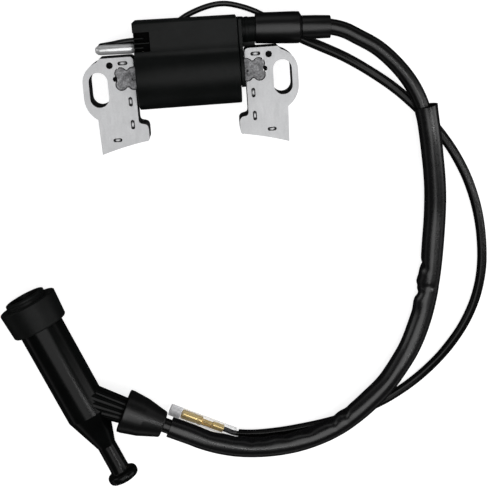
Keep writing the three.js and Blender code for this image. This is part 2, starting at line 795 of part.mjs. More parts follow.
// A coil spring about X, closed off with a round end at each end.
function springGeometry(x0, x1, radius, wire, turns) {
  class Helix extends THREE.Curve {
    getPoint(t, target = new THREE.Vector3()) {
      const angle = t * turns * 2 * Math.PI;
      const x = THREE.MathUtils.lerp(x0 + wire, x1 - wire, t);
      return target.set(x, radius * Math.cos(angle), radius * Math.sin(angle));
    }
  }
  return swept(new Helix(), turns * 12, wire, 0, 6);
}

function addCapContacts(group, inlet) {
  const resistor = { x0: 1.2, x1: 15.6, radius: 4.2 };
  const spring = { x0: 16, x1: 21, radius: 3, wire: 0.4, turns: 4 };
  const terminal = { x0: 21.4, x1: 34, radius: 4.6, bore: 3.4, floor: 25.6 };
  const screw = [
    [SCREW.headStart, 0],
    [SCREW.headStart, SCREW.head],
    [SCREW.headEnd, SCREW.head],
    [SCREW.headEnd, SCREW.shank],
    [LEAD_STOP - 2, SCREW.shank],
    [LEAD_STOP - 0.4, 0],
  ];
  const socket = [
    [terminal.x0, 0],
    [terminal.x0, terminal.radius],
    [terminal.x1, terminal.radius],
    [terminal.x1, terminal.bore],
    [terminal.floor, terminal.bore],
    [terminal.floor, 0],
  ];
  add(group, "cap_resistor", rod(resistor.x0, resistor.x1, resistor.radius), ceramic());
  const coil = springGeometry(spring.x0, spring.x1, spring.radius, spring.wire, spring.turns);
  add(group, "cap_spring", coil, steel());
  add(group, "plug_terminal", turned(socket, 16), brass());
  add(inlet, "lead_screw", turned(screw, 12), brass());
}

addCore();
addHousing();
addTowerCover();
addPotting();
addWindings();
addElectronics();
addStopTerminal();
addTowerBoot();
addLeads();
addConnector();
addCap();

export default part;
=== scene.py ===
"""Looks of the ignition coil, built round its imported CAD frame.

Outlines and profiles are in millimetres and are scaled by MM where they become a mesh.
Routes, lights and what the frame says are in metres."""

import math

import bmesh
import bpy
from mathutils import Matrix, Vector, noise


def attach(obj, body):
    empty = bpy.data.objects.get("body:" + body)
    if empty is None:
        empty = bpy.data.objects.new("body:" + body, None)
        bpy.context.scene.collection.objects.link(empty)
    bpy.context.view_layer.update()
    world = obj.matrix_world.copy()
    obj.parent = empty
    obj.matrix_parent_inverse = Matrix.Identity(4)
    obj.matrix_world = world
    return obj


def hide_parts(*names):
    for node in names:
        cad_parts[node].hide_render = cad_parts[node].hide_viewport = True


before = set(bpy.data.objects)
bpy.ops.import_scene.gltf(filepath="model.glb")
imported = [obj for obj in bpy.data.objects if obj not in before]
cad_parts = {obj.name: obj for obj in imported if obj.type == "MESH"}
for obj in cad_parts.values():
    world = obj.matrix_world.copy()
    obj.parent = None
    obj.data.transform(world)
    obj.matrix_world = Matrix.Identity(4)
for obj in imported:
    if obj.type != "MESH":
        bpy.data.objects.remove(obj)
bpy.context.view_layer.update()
MM = 0.001

# ------------------------------------------------------------------ camera

CAMERA_AT = (0.01036, 0.05414, 0.50234)
CAMERA_LOOKS = (0.015368, -0.254980, -0.966824)
CAMERA_UP = (0.076308, 0.964418, -0.253132)
CAMERA_LENS = 81.15


def make_camera():
    """The camera looks down on the coil from a little above its top edge."""
    data = bpy.data.cameras.new("camera")
    data.lens = CAMERA_LENS
    data.sensor_width = 36
    data.clip_start = 0.01
    data.clip_end = 10
    camera = bpy.data.objects.new("camera", data)
    bpy.context.scene.collection.objects.link(camera)
    back = -Vector(CAMERA_LOOKS).normalized()
    right = Vector(CAMERA_UP).cross(back).normalized()
    up = back.cross(right)
    turn = Matrix((right, up, back)).transposed()
    camera.matrix_world = Matrix.Translation(CAMERA_AT) @ turn.to_4x4()
    bpy.context.scene.camera = camera


make_camera()

# ------------------------------------------------------------------ routes of the two leads

LEAD_ROUTE = [
    (0.0269, 0.02194, 0.0135),
    (0.0419, 0.02116, 0.0135),
    (0.0549, 0.02048, 0.0135),
    (0.0628, 0.01995, 0.0135),
    (0.0689, 0.0181, 0.0135),
    (0.0740, 0.0152, 0.0133),
    (0.0830, 0.0095, 0.0129),
    (0.0912, 0.0015, 0.0122),
    (0.0978, -0.0075, 0.0112),
    (0.1022, -0.0170, 0.0104),
    (0.1051, -0.0285, 0.0100),
    (0.1071, -0.0410, 0.0087),
    (0.1083, -0.0555, 0.0068),
    (0.1082, -0.0700, 0.0053),
    (0.1067, -0.0870, 0.0051),
    (0.1051, -0.0995, 0.0051),
    (0.1026, -0.1120, 0.0051),
    (0.0988, -0.1240, 0.0059),
    (0.0936, -0.1346, 0.0073),
    (0.0874, -0.1434, 0.0088),
    (0.0814, -0.1508, 0.0098),
    (0.0754, -0.1567, 0.0102),
    (0.0674, -0.1634, 0.0103),
    (0.0584, -0.1697, 0.0100),
    (0.0484, -0.1742, 0.0101),
    (0.0365, -0.1769, 0.0112),
    (0.0212, -0.1771, 0.0134),
    (0.0079, -0.1746, 0.0159),
    (-0.0053, -0.1698, 0.0179),
    (-0.01427, -0.16506, 0.01864),
    (-0.02649, -0.15934, 0.01811),
    (-0.03961, -0.1532, 0.01755),
    (-0.05228, -0.14727, 0.01701),
]

STOP_ROUTE = [
    (-0.0208, 0.0203, 0.0120),
    (-0.0285, 0.0199, 0.0120),
    (-0.0336, 0.0192, 0.0114),
    (-0.0374, 0.0187, 0.0092),
    (-0.0387, 0.0184, 0.0064),
    (-0.0375, 0.0182, 0.0034),
    (-0.0338, 0.0181, 0.0017),
    (-0.0200, 0.0190, 0.0013),
    (-0.0125, 0.0212, 0.0013),
    (-0.0060, 0.0250, 0.0013),
    (0.0000, 0.0287, 0.0013),
    (0.0100, 0.0321, 0.0013),
    (0.0171, 0.0327, 0.0013),
    (0.0244, 0.0310, 0.0013),
    (0.0320, 0.0277, 0.0013),
    (0.0393, 0.0230, 0.0018),
    (0.0448, 0.0189, 0.00235),
    (0.0505, 0.0153, 0.00235),
    (0.0700, 0.0052, 0.00235),
    (0.0834, -0.0037, 0.00235),
    (0.0940, -0.0122, 0.00235),
    (0.1050, -0.0235, 0.00235),
    (0.1130, -0.0336, 0.00235),
    (0.1192, -0.0436, 0.00235),
    (0.1246, -0.0555, 0.00235),
    (0.1286, -0.0695, 0.00235),
    (0.1305, -0.0845, 0.00235),
    (0.1302, -0.0995, 0.00235),
    (0.1270, -0.1138, 0.00235),
    (0.1208, -0.1270, 0.00235),
    (0.1115, -0.1395, 0.00235),
    (0.1002, -0.1502, 0.00235),
    (0.0880, -0.1587, 0.00235),
    (0.0755, -0.1649, 0.00235),
    (0.0607, -0.1702, 0.00235),
    (0.0370, -0.1742, 0.00235),
    (0.0170, -0.1751, 0.0025),
    (0.0070, -0.1735, 0.00295),
    (0.00297, -0.17149, 0.00295),
    (-0.00195, -0.16904, 0.00295),
]

LEAD_RADIUS = 3.5 * MM
STOP_RADIUS = 1.25 * MM


def route_points(route, step):
    """Evenly spaced points on a centripetal Catmull-Rom curve through the route."""
    points = [Vector(p) for p in route]
    ends = [2 * points[0] - points[1], *points, 2 * points[-1] - points[-2]]
    fine = []
    for a, b, c, d in zip(ends, ends[1:], ends[2:], ends[3:]):
        t1 = (b - a).length ** 0.5
        t2 = t1 + (c - b).length ** 0.5
        t3 = t2 + (d - c).length ** 0.5
        for k in range(24):
            t = t1 + (t2 - t1) * k / 24
            ab = a.lerp(b, t / t1)
            bc = b.lerp(c, (t - t1) / (t2 - t1))
            cd = c.lerp(d, (t - t2) / (t3 - t2))
            abc = ab.lerp(bc, t / t2)
            bcd = bc.lerp(cd, (t - t1) / (t3 - t1))
            fine.append(abc.lerp(bcd, (t - t1) / (t2 - t1)))
    fine.append(points[-1])
    lengths = [0.0]
    for p, q in zip(fine, fine[1:]):
        lengths.append(lengths[-1] + (q - p).length)
    count = max(2, round(lengths[-1] / step))
    even, at = [], 0
    for k in range(count + 1):
        want = lengths[-1] * k / count
        while at < len(fine) - 2 and lengths[at + 1] < want:
            at += 1
        share = (want - lengths[at]) / max(lengths[at + 1] - lengths[at], 1e-12)
        even.append(fine[at].lerp(fine[at + 1], min(max(share, 0), 1)))
    return even


def line_length(points):
    return sum((q - p).length for p, q in zip(points, points[1:]))


def part_of_line(points, start, end):
    """The points between two distances along a line."""
    kept, at = [], 0.0
    for p, q in zip(points, points[1:]):
        if start <= at <= end:
            kept.append(p)
        at += (q - p).length
    return kept


# ------------------------------------------------------------------ mesh helpers


def new_object(name, bm):
    """Puts a bmesh in the scene as an object."""
    mesh = bpy.data.meshes.new(name)
    bm.to_mesh(mesh)
    bm.free()
    made = bpy.data.objects.new(name, mesh)
    bpy.context.scene.collection.objects.link(made)
    return made


def mark_sharp(bm, degrees):
    """Smooth faces, with the edges over an angle left sharp."""
    limit = math.radians(degrees)
    for edge in bm.edges:
        edge.smooth = len(edge.link_faces) == 2 and edge.calc_face_angle(0) < limit
    for face in bm.faces:
        face.smooth = True


def finish_mesh(name, bm, material, body="coil", sharp=40, replaces=()):
    """Turns a bmesh into a piece that rides on a CAD body."""
    bmesh.ops.remove_doubles(bm, verts=bm.verts, dist=1e-7)
    bmesh.ops.recalc_face_normals(bm, faces=bm.faces)
    mark_sharp(bm, sharp)
    piece = new_object(name, bm)
    piece.data.materials.append(material)
    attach(piece, body)
    if replaces:
        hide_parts(*replaces)
    return piece


def bridge(bm, rings):
    """Joins rings of vertices with quads. Each ring has the same number of vertices."""
    for low, high in zip(rings, rings[1:]):
        for k in range(len(low)):
            n = (k + 1) % len(low)
            bm.faces.new((low[k], low[n], high[n], high[k]))


def rounded_corners(corners, steps=5):
    """A path with arcs in place of its corners. Each corner is (x, y, radius)."""
    path = []
    for k, (x, y, radius) in enumerate(corners):
        here = Vector((x, y))
        if radius <= 0 or k in (0, len(corners) - 1):
            path.append(here)
            continue
        before = (Vector(corners[k - 1][:2]) - here).normalized()
        after = (Vector(corners[k + 1][:2]) - here).normalized()
        angle = before.angle(after)
        reach = radius / math.tan(angle / 2)
        start = here + before * reach
        end = here + after * reach
        for step in range(steps + 1):
            t = step / steps
            inner = start.lerp(here, t)
            outer = here.lerp(end, t)
            path.append(inner.lerp(outer, t))
    return path


def lathe(bm, profile, matrix, sides=64, ribs=None):
    """Turns a profile of (along X, radius, corner radius) in millimetres about X.
    ribs(along, angle) returns what is added to the radius there. Both ends get a disc, also
    where the profile closes on itself."""
    rings = []
    for along, radius in rounded_corners(profile):
        ring = []
        for side in range(sides):
            angle = 2 * math.pi * side / sides
            r = max(radius, 1e-4) + (ribs(along, angle) if ribs else 0)
            point = Vector((along, r * math.cos(angle), r * math.sin(angle))) * MM
            ring.append(bm.verts.new(matrix @ point))
        rings.append(ring)
    bridge(bm, rings)
    bm.faces.new(rings[0][::-1])
    bm.faces.new(rings[-1])


def turned(name, profile, matrix, material, sides=64, **more):
    """A piece that is one profile turned about X."""
    bm = bmesh.new()
    lathe(bm, profile, matrix, sides)
    return finish_mesh(name, bm, material, **more)


def block(bm, low, high, bevel, matrix=None):
    """A box between two corners in millimetres, with rounded edges."""
    made = bmesh.ops.create_cube(bm, size=1)["verts"]
    size = [b - a for a, b in zip(low, high)]
    middle = [(a + b) / 2 for a, b in zip(low, high)]
    place = Matrix.Translation(Vector(middle) * MM) @ Matrix.Diagonal([s * MM for s in size] + [1])
    bmesh.ops.transform(bm, matrix=(matrix or Matrix.Identity(4)) @ place, verts=made)
    if bevel > 0:
        edges = list({e for v in made for e in v.link_edges})
        bmesh.ops.bevel(
            bm, geom=edges, offset=bevel * MM, segments=3, profile=0.5, affect="EDGES"
        )


def frames_along(points):
    """A frame at each point that turns as little as it can: (point, side, up)."""
    frames = []
    tangent = (points[1] - points[0]).normalized()
    up = (Vector((0, 0, 1)) - tangent * tangent.z).normalized()
    for k, point in enumerate(points):
        ahead = points[min(k + 1, len(points) - 1)] - points[max(k - 1, 0)]
        tangent = ahead.normalized()
        up = (up - tangent * up.dot(tangent)).normalized()
        frames.append((point, tangent.cross(up), up))
    return frames


def sweep(bm, points, radius, sides, shape=None, hollow=None):
    """A tube along a line of points, in metres. shape(along, angle) is added to its radius,
    with angle 0 to the side and a quarter turn up. hollow is its inner radius."""
    outer, inner, at = [], [], 0.0
    walls = [(outer, radius)] + ([(inner, hollow)] if hollow else [])
    frames = frames_along(points)
    for k, (point, side, up) in enumerate(frames):
        if k:
            at += (point - frames[k - 1][0]).length
        for rows, base in walls:
            ring = []
            for n in range(sides):
                angle = 2 * math.pi * n / sides
                r = base + (shape(at, angle) if shape else 0)
                out = side * math.cos(angle) + up * math.sin(angle)
                ring.append(bm.verts.new(point + out * r))
            rows.append(ring)
    bridge(bm, outer)
    if not hollow:
        bm.faces.new(outer[0][::-1])
        bm.faces.new(outer[-1])
        return
    bridge(bm, inner)
    bridge(bm, [outer[0], inner[0]])
    bridge(bm, [outer[-1], inner[-1]])


# ------------------------------------------------------------------ materials


class Nodes:
    """A short way to write a shader's nodes."""

    def __init__(self, name):
        self.material = bpy.data.materials.new(name)
        self.material.use_nodes = True
        self.tree = self.material.node_tree
        self.shader = self.tree.nodes["Principled BSDF"]
        self.place = self.add("ShaderNodeTexCoord").outputs["Object"]

    def add(self, kind, **settings):
        node = self.tree.nodes.new(kind)
        for key, value in settings.items():
            if hasattr(node, key):
                setattr(node, key, value)
            else:
                node.inputs[key].default_value = value
        return node

    def link(self, output, node, socket):
        self.tree.links.new(output, node.inputs[socket])

    def noise(self, scale, detail=3.0, roughness=0.6, stretch=None):
        texture = self.add("ShaderNodeTexNoise", Scale=scale, Detail=detail, Roughness=roughness)
        source = self.place
        if stretch:
            mapping = self.add("ShaderNodeMapping", Scale=stretch)
            self.link(source, mapping, "Vector")
            source = mapping.outputs["Vector"]
        self.link(source, texture, "Vector")
        return texture.outputs["Fac"]

    def span(self, value, low, high, to_low, to_high):
        """Maps a value's range onto another one."""
        node = self.add("ShaderNodeMapRange", clamp=True)
        for socket, number in zip(
            ("From Min", "From Max", "To Min", "To Max"), (low, high, to_low, to_high)
        ):
            node.inputs[socket].default_value = number
        self.link(value, node, "Value")
        return node.outputs["Result"]

    def mix(self, share, first, second):
        node = self.add("ShaderNodeMix", data_type="RGBA")
        self.link(share, node, 0)
        for socket, value in ((6, first), (7, second)):
            if isinstance(value, tuple):
                node.inputs[socket].default_value = (*value, 1)
            else:
                self.link(value, node, socket)
        return node.outputs[2]

    def bump(self, height, strength, distance):
        node = self.add("ShaderNodeBump", Strength=strength, Distance=distance)
        self.link(height, node, "Height")
        return node.outputs["Normal"]


def moulded(name, dark, light, rough, grain=1800, bump=0.12, gloss=0.5):
    """Moulded plastic or rubber: slow colour drift, worn patches and a fine grain."""
    n = Nodes(name)
    drift = n.noise(60, detail=4)
    wear = n.noise(420, detail=5, roughness=0.7)
    fine = n.noise(grain, detail=2)
    colour = n.mix(n.span(drift, 0.35, 0.7, 0, 1), dark, light)
    n.link(colour, n.shader, "Base Color")
    n.link(n.span(wear, 0.3, 0.75, rough[0], rough[1]), n.shader, "Roughness")
    n.link(n.bump(fine, bump, 0.0002), n.shader, "Normal")
    n.shader.inputs["Specular IOR Level"].default_value = gloss
    return n.material


def metal(name, dark, light, rough, scale=900, bump=0.08, metallic=1.0):
    """Bright metal: grain, faint tarnish and uneven roughness."""
    n = Nodes(name)
    n.shader.inputs["Metallic"].default_value = metallic
    tarnish = n.noise(140, detail=5, roughness=0.65)
    grain = n.noise(scale, detail=4)
    n.link(n.mix(n.span(tarnish, 0.3, 0.75, 0, 1), light, dark), n.shader, "Base Color")
    n.link(n.span(grain, 0.3, 0.7, rough[0], rough[1]), n.shader, "Roughness")
    n.link(n.bump(grain, bump, 0.0002), n.shader, "Normal")
    return n.material


def sheet_face():
    """Grey electrical steel, rolled along Y, with a fine grain and faint clouds."""
    n = Nodes("sheet_face")
    grain = n.noise(1500, detail=3, roughness=0.7)
    cloud = n.noise(110, detail=5, roughness=0.6)
    rolled = n.noise(500, detail=3, stretch=(2.5, 0.25, 1))
    face = n.mix(n.span(cloud, 0.3, 0.7, 0, 1), (0.50, 0.503, 0.512), (0.59, 0.593, 0.602))
    face = n.mix(n.span(grain, 0.4, 0.75, 0, 0.35), face, (0.42, 0.423, 0.43))
    n.link(face, n.shader, "Base Color")
    n.shader.inputs["Metallic"].default_value = 0.25
    n.link(n.span(rolled, 0.3, 0.7, 0.4, 0.55), n.shader, "Roughness")
    n.link(n.bump(grain, 0.25, 0.0001), n.shader, "Normal")
    return n.material


def sheet_edge_and_shade():
    """The sheared edges of the sheets, the faces between them and the floors of the pits: nearly
    black, partly the edges' own darker tone and partly painted shade in the slots, gaps and pits.
    """
    n = Nodes("sheet_edge_and_shade")
    cloud = n.noise(300, detail=4)
    grain = n.noise(1500, detail=3)
    # Partly the edges' own darker tone, partly painted shade for the slot walls, the gaps between
    # sheets and the pit floors.
    edge = n.mix(n.span(cloud, 0.3, 0.7, 0, 1), (0.006, 0.006, 0.006), (0.03, 0.03, 0.032))
    n.link(edge, n.shader, "Base Color")
    n.link(n.span(grain, 0.3, 0.7, 0.5, 0.65), n.shader, "Roughness")
    n.link(n.bump(grain, 0.2, 0.0001), n.shader, "Normal")
    n.shader.inputs["Specular IOR Level"].default_value = 0.12
    return n.material


def core_steel():
    """The bar's ends: darker and rougher, as if peened."""
    n = Nodes("core_steel")
    n.shader.inputs["Metallic"].default_value = 0.3
    coarse = n.noise(520, detail=6, roughness=0.7)
    fine = n.noise(1700, detail=3)
    colour = n.mix(n.span(coarse, 0.35, 0.65, 0, 1), (0.07, 0.07, 0.074), (0.36, 0.36, 0.37))
    colour = n.mix(n.span(fine, 0.45, 0.7, 0, 0.6), colour, (0.04, 0.04, 0.042))
    n.link(colour, n.shader, "Base Color")
    n.shader.inputs["Roughness"].default_value = 0.55
    n.link(n.bump(coarse, 0.6, 0.0003), n.shader, "Normal")
    return n.material


def clear_vinyl(name, thin, thick, colour):
    """Clear tube: it shows more at its edges, where one looks along its wall."""
    n = Nodes(name)
    haze = n.noise(900, detail=4)
    facing = n.add("ShaderNodeLayerWeight", Blend=0.35).outputs["Facing"]
    cover = n.add("ShaderNodeMath", operation="ADD", use_clamp=True)
    n.link(n.span(facing, 0.1, 0.9, thin, thick), cover, 0)
    n.link(n.span(haze, 0.4, 0.7, 0.0, 0.05), cover, 1)
    n.link(cover.outputs[0], n.shader, "Alpha")
    tint = n.mix(n.span(haze, 0.35, 0.65, 0, 1), colour, (0.85, 0.85, 0.86))
    n.link(tint, n.shader, "Base Color")
    n.shader.inputs["Roughness"].default_value = 0.16
    n.link(n.bump(haze, 0.1, 0.0002), n.shader, "Normal")
    return n.material


def banded(name, first, second, pitch, rough, metallic=0.0):
    """Fine bands along X, as on wound wire."""
    n = Nodes(name)
    wave = n.add("ShaderNodeTexWave", bands_direction="X", Scale=1 / pitch / 3.14)
    n.link(n.place, wave, "Vector")
    n.link(n.mix(wave.outputs["Fac"], first, second), n.shader, "Base Color")
    n.link(n.bump(wave.outputs["Fac"], 0.4, 0.0002), n.shader, "Normal")
    n.shader.inputs["Roughness"].default_value = rough
    n.shader.inputs["Metallic"].default_value = metallic
    return n.material


STEEL = sheet_face()
STEEL_EDGE_AND_SHADE = sheet_edge_and_shade()
CORE = core_steel()
HOUSING_PLASTIC = moulded(
    "housing_plastic",
    (0.003, 0.0036, 0.0034),
    (0.0055, 0.0062, 0.006),
    (0.36, 0.44),
    grain=2600,
    bump=0.1,
    gloss=0.1,
)
CAP_PLASTIC = moulded(
    "cap_plastic",
    (0.0015, 0.0017, 0.0016),
    (0.0032, 0.0036, 0.0035),
    (0.19, 0.23),
    bump=0.01,
    gloss=0.12,
)
BOOT_RUBBER = moulded(
    "boot_rubber", (0.0015, 0.0015, 0.0016), (0.0035, 0.0035, 0.0036), (0.3, 0.36), gloss=0.36
)
SEAL_RUBBER = moulded(
    "seal_rubber", (0.0025, 0.0029, 0.0027), (0.0045, 0.005, 0.0048), (0.4, 0.5), gloss=0.12
)
LEAD_JACKET = moulded(
    "lead_jacket", (0.0015, 0.0015, 0.0015), (0.003, 0.003, 0.003), (0.26, 0.32), gloss=0.4
)
GUARD_VINYL = moulded(
    "guard_vinyl",
    (0.0015, 0.0015, 0.0018),
    (0.0035, 0.0035, 0.0039),
    (0.26, 0.31),
    bump=0.02,
    gloss=0.5,
)
STOP_VINYL = moulded(
    "stop_vinyl",
    (0.0015, 0.0015, 0.0015),
    (0.0035, 0.0035, 0.0035),
    (0.24, 0.3),
    bump=0.03,
    gloss=0.2,
)
TIN = metal(
    "tin_plate", (0.6, 0.605, 0.61), (0.72, 0.725, 0.73), (0.3, 0.36), bump=0.01, metallic=0.55
)
BRASS = metal("brass", (0.80, 0.55, 0.18), (0.98, 0.78, 0.36), (0.2, 0.28), bump=0.01, metallic=0.5)
CLEAR = clear_vinyl("clear_vinyl", 0.02, 0.45, (0.62, 0.62, 0.63))
# Painted shade: the bays' floor is the housing's plastic made darker and duller, for the shade in
# the recess.
RECESS_SHADE_PLASTIC = moulded(
    "recess_painted_shade", (0.0006, 0.0007, 0.0007), (0.0012, 0.0013, 0.0013), (0.5, 0.6), gloss=0.02
)
FROSTED = clear_vinyl("frosted_vinyl", 0.72, 0.95, (0.72, 0.72, 0.74))

# ------------------------------------------------------------------ laminated core

STACK_LOW = 6.5
STACK_HIGH = 20.5
SHEETS = 20
PITCH = (STACK_HIGH - STACK_LOW) / SHEETS
SHEET_GAP = 0.06
SLOT = (40.2, 0.5, 8.2, 15.2)  # centre, width and length
GAUGE_HOLE = (34.6, 10.8, 1.45)  # centre and radius, as of STAKE and DIMPLE
GAUGE_DEPTH = 6
CORE_Y = 4.7
LEG_INNER_X = 24.2
LEG_OUTER_X = 47
LEG_TOP_Y = 14.0
TIP = Vector((41.4, -28))
TOE_X = 20.1
POLE_RADIUS = 136
LOBES = [(24.7, 7.1), (24.7, 2.3), (30.1, 7.1), (30.1, 2.3)]
LOBE_RADIUS = 2.3
KNOT_BOX = (21.0, 31.8, 1.25, 8.15)  # its span along X, then along Y
KNOT_MIDDLE = Vector((27.2, CORE_Y))
POCKET_GAP = 0.4
STAKE = (32.6, 4.8, 1.1)
# what holds the sheets together: centre, and size along X and Y
INTERLOCKS = [
    (28.85, 11.4, 4.4, 1.7),
    (26.9, -5.4, 1.7, 4.2),
    (26.9, -15.5, 1.7, 4.2),
    (34.1, -21.9, 4.0, 1.6),
]
PIT_DEPTH = 0.55
TONGUE_DROP = 0.08
# a tongue's four corners: share of the pit's width, and depth under the tongue's top
TONGUE_SECTION = [(-0.24, 0), (0.24, 0), (0.24, 0.05), (-0.24, 0.05)]
# Faces further in than this, between the sheets and on the pit floors, take the painted shade.
FACE_BAND = 0.15  # how near the stack's outside a bright face lies
DIMPLE = (24.9, 4.2, 0.6)
DIMPLED_SHEETS = 3
BAR_HALF = 4.0
BAR_FRONT = STACK_HIGH - 0.12
KNOT_FROM_X = 23.9


def knot_reach(angle, growth, stake):
    """How far the knot's outline is from its middle, in a direction."""
    ray = Vector((math.cos(angle), math.sin(angle)))
    x0, x1, y0, y1 = KNOT_BOX
    reaches = []
    for low, high, along in ((x0, x1, 0), (y0 - growth, y1 + growth, 1)):
        if abs(ray[along]) > 1e-9:
            edge = high if ray[along] > 0 else low
            reaches.append((edge - KNOT_MIDDLE[along]) / ray[along])
    best = min(reaches)
    circles = [(x, y, LOBE_RADIUS + growth) for x, y in LOBES] + ([STAKE] if stake else [])
    for x, y, radius in circles:
        away = Vector((x, y)) - KNOT_MIDDLE
        along = away.dot(ray)
        inside = radius**2 - (away.length_squared - along**2)
        if inside > 0:
            best = max(best, along + math.sqrt(inside))
    return best


def knot_outline(edge_x, growth, stake, steps=150):
    """The knot's outline from where it leaves the line x = edge_x at the top to the bottom."""
    points = []
    for k in range(steps + 1):
        angle = math.radians(124 - 248 * k / steps)
        reach = knot_reach(angle, growth, stake)
        point = KNOT_MIDDLE + Vector((math.cos(angle), math.sin(angle))) * reach
        if point.x >= edge_x:
            points.append(point)
    top = Vector((edge_x, points[0].y))
    bottom = Vector((edge_x, points[-1].y))
    return [top, *points, bottom]


def curve_to(start, one, two, end, steps=10):
    """Points of a cubic Bezier curve after its start."""
    made = []
    for k in range(1, steps + 1):
        t = k / steps
        a = start.lerp(one, t)
        b = one.lerp(two, t)
        c = two.lerp(end, t)
        made.append(a.lerp(b, t).lerp(b.lerp(c, t), t))
    return made


def leg_outline(stake):
    """The right leg's edge, anticlockwise in millimetres, its knot pocket included."""
    centre_y = TIP.y - math.sqrt(POLE_RADIUS**2 - TIP.x**2)
    start = math.asin(TIP.x / POLE_RADIUS)
    stop = math.asin((TOE_X + 1.7) / POLE_RADIUS)
    pole = []
    for k in range(13):
        angle = start + (stop - start) * k / 12
        pole.append(
            Vector((POLE_RADIUS * math.sin(angle), centre_y + POLE_RADIUS * math.cos(angle)))
        )
    toe = rounded_corners(
        [
            (pole[-1].x, pole[-1].y, 0),
            (TOE_X, -24.0, 1.6),
            (TOE_X, -15.9, 2.4),
            (LEG_INNER_X, -15.2, 1.8),
            (LEG_INNER_X, -1, 0),
        ]
    )
    pocket = knot_outline(LEG_INNER_X, POCKET_GAP, stake)[::-1]
    head = rounded_corners(
        [
            (LEG_INNER_X, 10.6, 0),
            (LEG_INNER_X, LEG_TOP_Y, 1.9),
            (38.8, LEG_TOP_Y, 0.8),
            (40.0, 12.6, 1.6),
            (TIP.x, 12, 0),
        ]
    )
    shoulder = curve_to(
        Vector((TIP.x, 12)),
        Vector((44.6, 10.4)),
        Vector((LEG_OUTER_X, 7.6)),
        Vector((LEG_OUTER_X, 3.5)),
    )
    ear = Vector((LEG_OUTER_X, -2.5))
    waist = [ear] + curve_to(
        ear, Vector((LEG_OUTER_X, -7.5)), Vector((44.6, -10.4)), Vector((41.8, -12.4))
    )
    return pole + toe[1:] + pocket + head + shoulder + waist


def oval(x, y, width, length, steps=14):
    """A round-ended slot along Y."""
    radius = width / 2
    half = length / 2 - radius
    points = []
    for centre, first in ((y + half, 0), (y - half, math.pi)):
        for k in range(steps + 1):
            angle = first + math.pi * k / steps
            points.append(
                Vector((x + radius * math.cos(angle), centre + radius * math.sin(angle)))
            )
    return points


def circle(x, y, radius, steps=28):
    turns = [2 * math.pi * k / steps for k in range(steps)]
    return [Vector((x + radius * math.cos(a), y + radius * math.sin(a))) for a in turns]


def add_sheet(bm, loops, z0, z1, mirror):
    """One stamped sheet between two heights, from its edge and its holes."""
    flip = -1 if mirror else 1
    edges = []
    for loop in loops:
        verts = [bm.verts.new((flip * p.x * MM, p.y * MM, z0 * MM)) for p in loop]
        count = len(verts)
        edges += [bm.edges.new((verts[k], verts[(k + 1) % count])) for k in range(count)]
    filled = bmesh.ops.triangle_fill(bm, use_beauty=True, use_dissolve=False, edges=edges)
    faces = [g for g in filled["geom"] if isinstance(g, bmesh.types.BMFace)]
    raised = bmesh.ops.extrude_face_region(bm, geom=faces)["geom"]
    tops = [g for g in raised if isinstance(g, bmesh.types.BMVert)]
    bmesh.ops.translate(bm, vec=(0, 0, (z1 - z0) * MM), verts=tops)


def long_oval(x, y, size_x, size_y, steps=8):
    """A round-ended outline that is long along X or along Y."""
    radius = min(size_x, size_y) / 2
    reach_x = size_x / 2 - radius
    reach_y = size_y / 2 - radius
    points = []
    for k in range(4 * steps):
        angle = 2 * math.pi * (k + 0.5) / (4 * steps)
        cx = math.copysign(reach_x, math.cos(angle))
        cy = math.copysign(reach_y, math.sin(angle))
        turn = Vector((math.cos(angle), math.sin(angle)))
        points.append(Vector((x + cx, y + cy)) + turn * radius)
    return points


def as_tool(name, bm):
    """A plain object that only cuts another one."""
    bmesh.ops.recalc_face_normals(bm, faces=bm.faces)
    return new_object(name, bm)


def interlock_pits(mirror):
    """A tool that cuts a shallow oval pit for each interlock."""
    bm = bmesh.new()
    for x, y, size_x, size_y in INTERLOCKS:
        outline = long_oval(x, y, size_x, size_y)
        add_sheet(bm, [outline], STACK_HIGH - PIT_DEPTH, STACK_HIGH + 1, mirror)
    return as_tool("interlock_pits", bm)


def make_interlocks(side, mirror):
    """The metal pushed down in each pit: a bright tongue that is bent at both ends."""
    flip = -1 if mirror else 1
    bm = bmesh.new()
    for x, y, size_x, size_y in INTERLOCKS:
        along_x = size_x > size_y
        length, width = max(size_x, size_y), min(size_x, size_y)
        bends = [(-0.26, PIT_DEPTH), (-0.16, TONGUE_DROP), (0.16, TONGUE_DROP), (0.26, PIT_DEPTH)]
        rings = []
        for share, drop in bends:
            ring = []
            for across, under in TONGUE_SECTION:
                dx, dy = share * length, across * width
                if not along_x:
                    dx, dy = -dy, dx
                corner = Vector((flip * (x + dx), y + dy, STACK_HIGH - drop - under))
                ring.append(bm.verts.new(corner * MM))
            rings.append(ring)
        bridge(bm, rings)
        bm.faces.new(rings[0])
        bm.faces.new(rings[-1])
    tongues = finish_mesh(f"interlocks_{side}", bm, STEEL, sharp=10)


def cut_away(piece, tool):
    """Cuts tool out of piece, and removes the tool."""
    cut = piece.modifiers.new("cut", "BOOLEAN")
    cut.operation = "DIFFERENCE"
    cut.solver = "EXACT"
    cut.object = tool
    bpy.context.view_layer.update()
    graph = bpy.context.evaluated_depsgraph_get()
    mesh = bpy.data.meshes.new_from_object(piece.evaluated_get(graph))
    piece.modifiers.clear()
    piece.data = mesh
    bpy.data.objects.remove(tool)


def sharpen(piece, degrees):
    """Marks a piece's edges sharp over an angle, after its mesh was cut."""
    bm = bmesh.new()
    bm.from_mesh(piece.data)
    mark_sharp(bm, degrees)
    bm.to_mesh(piece.data)
    bm.free()


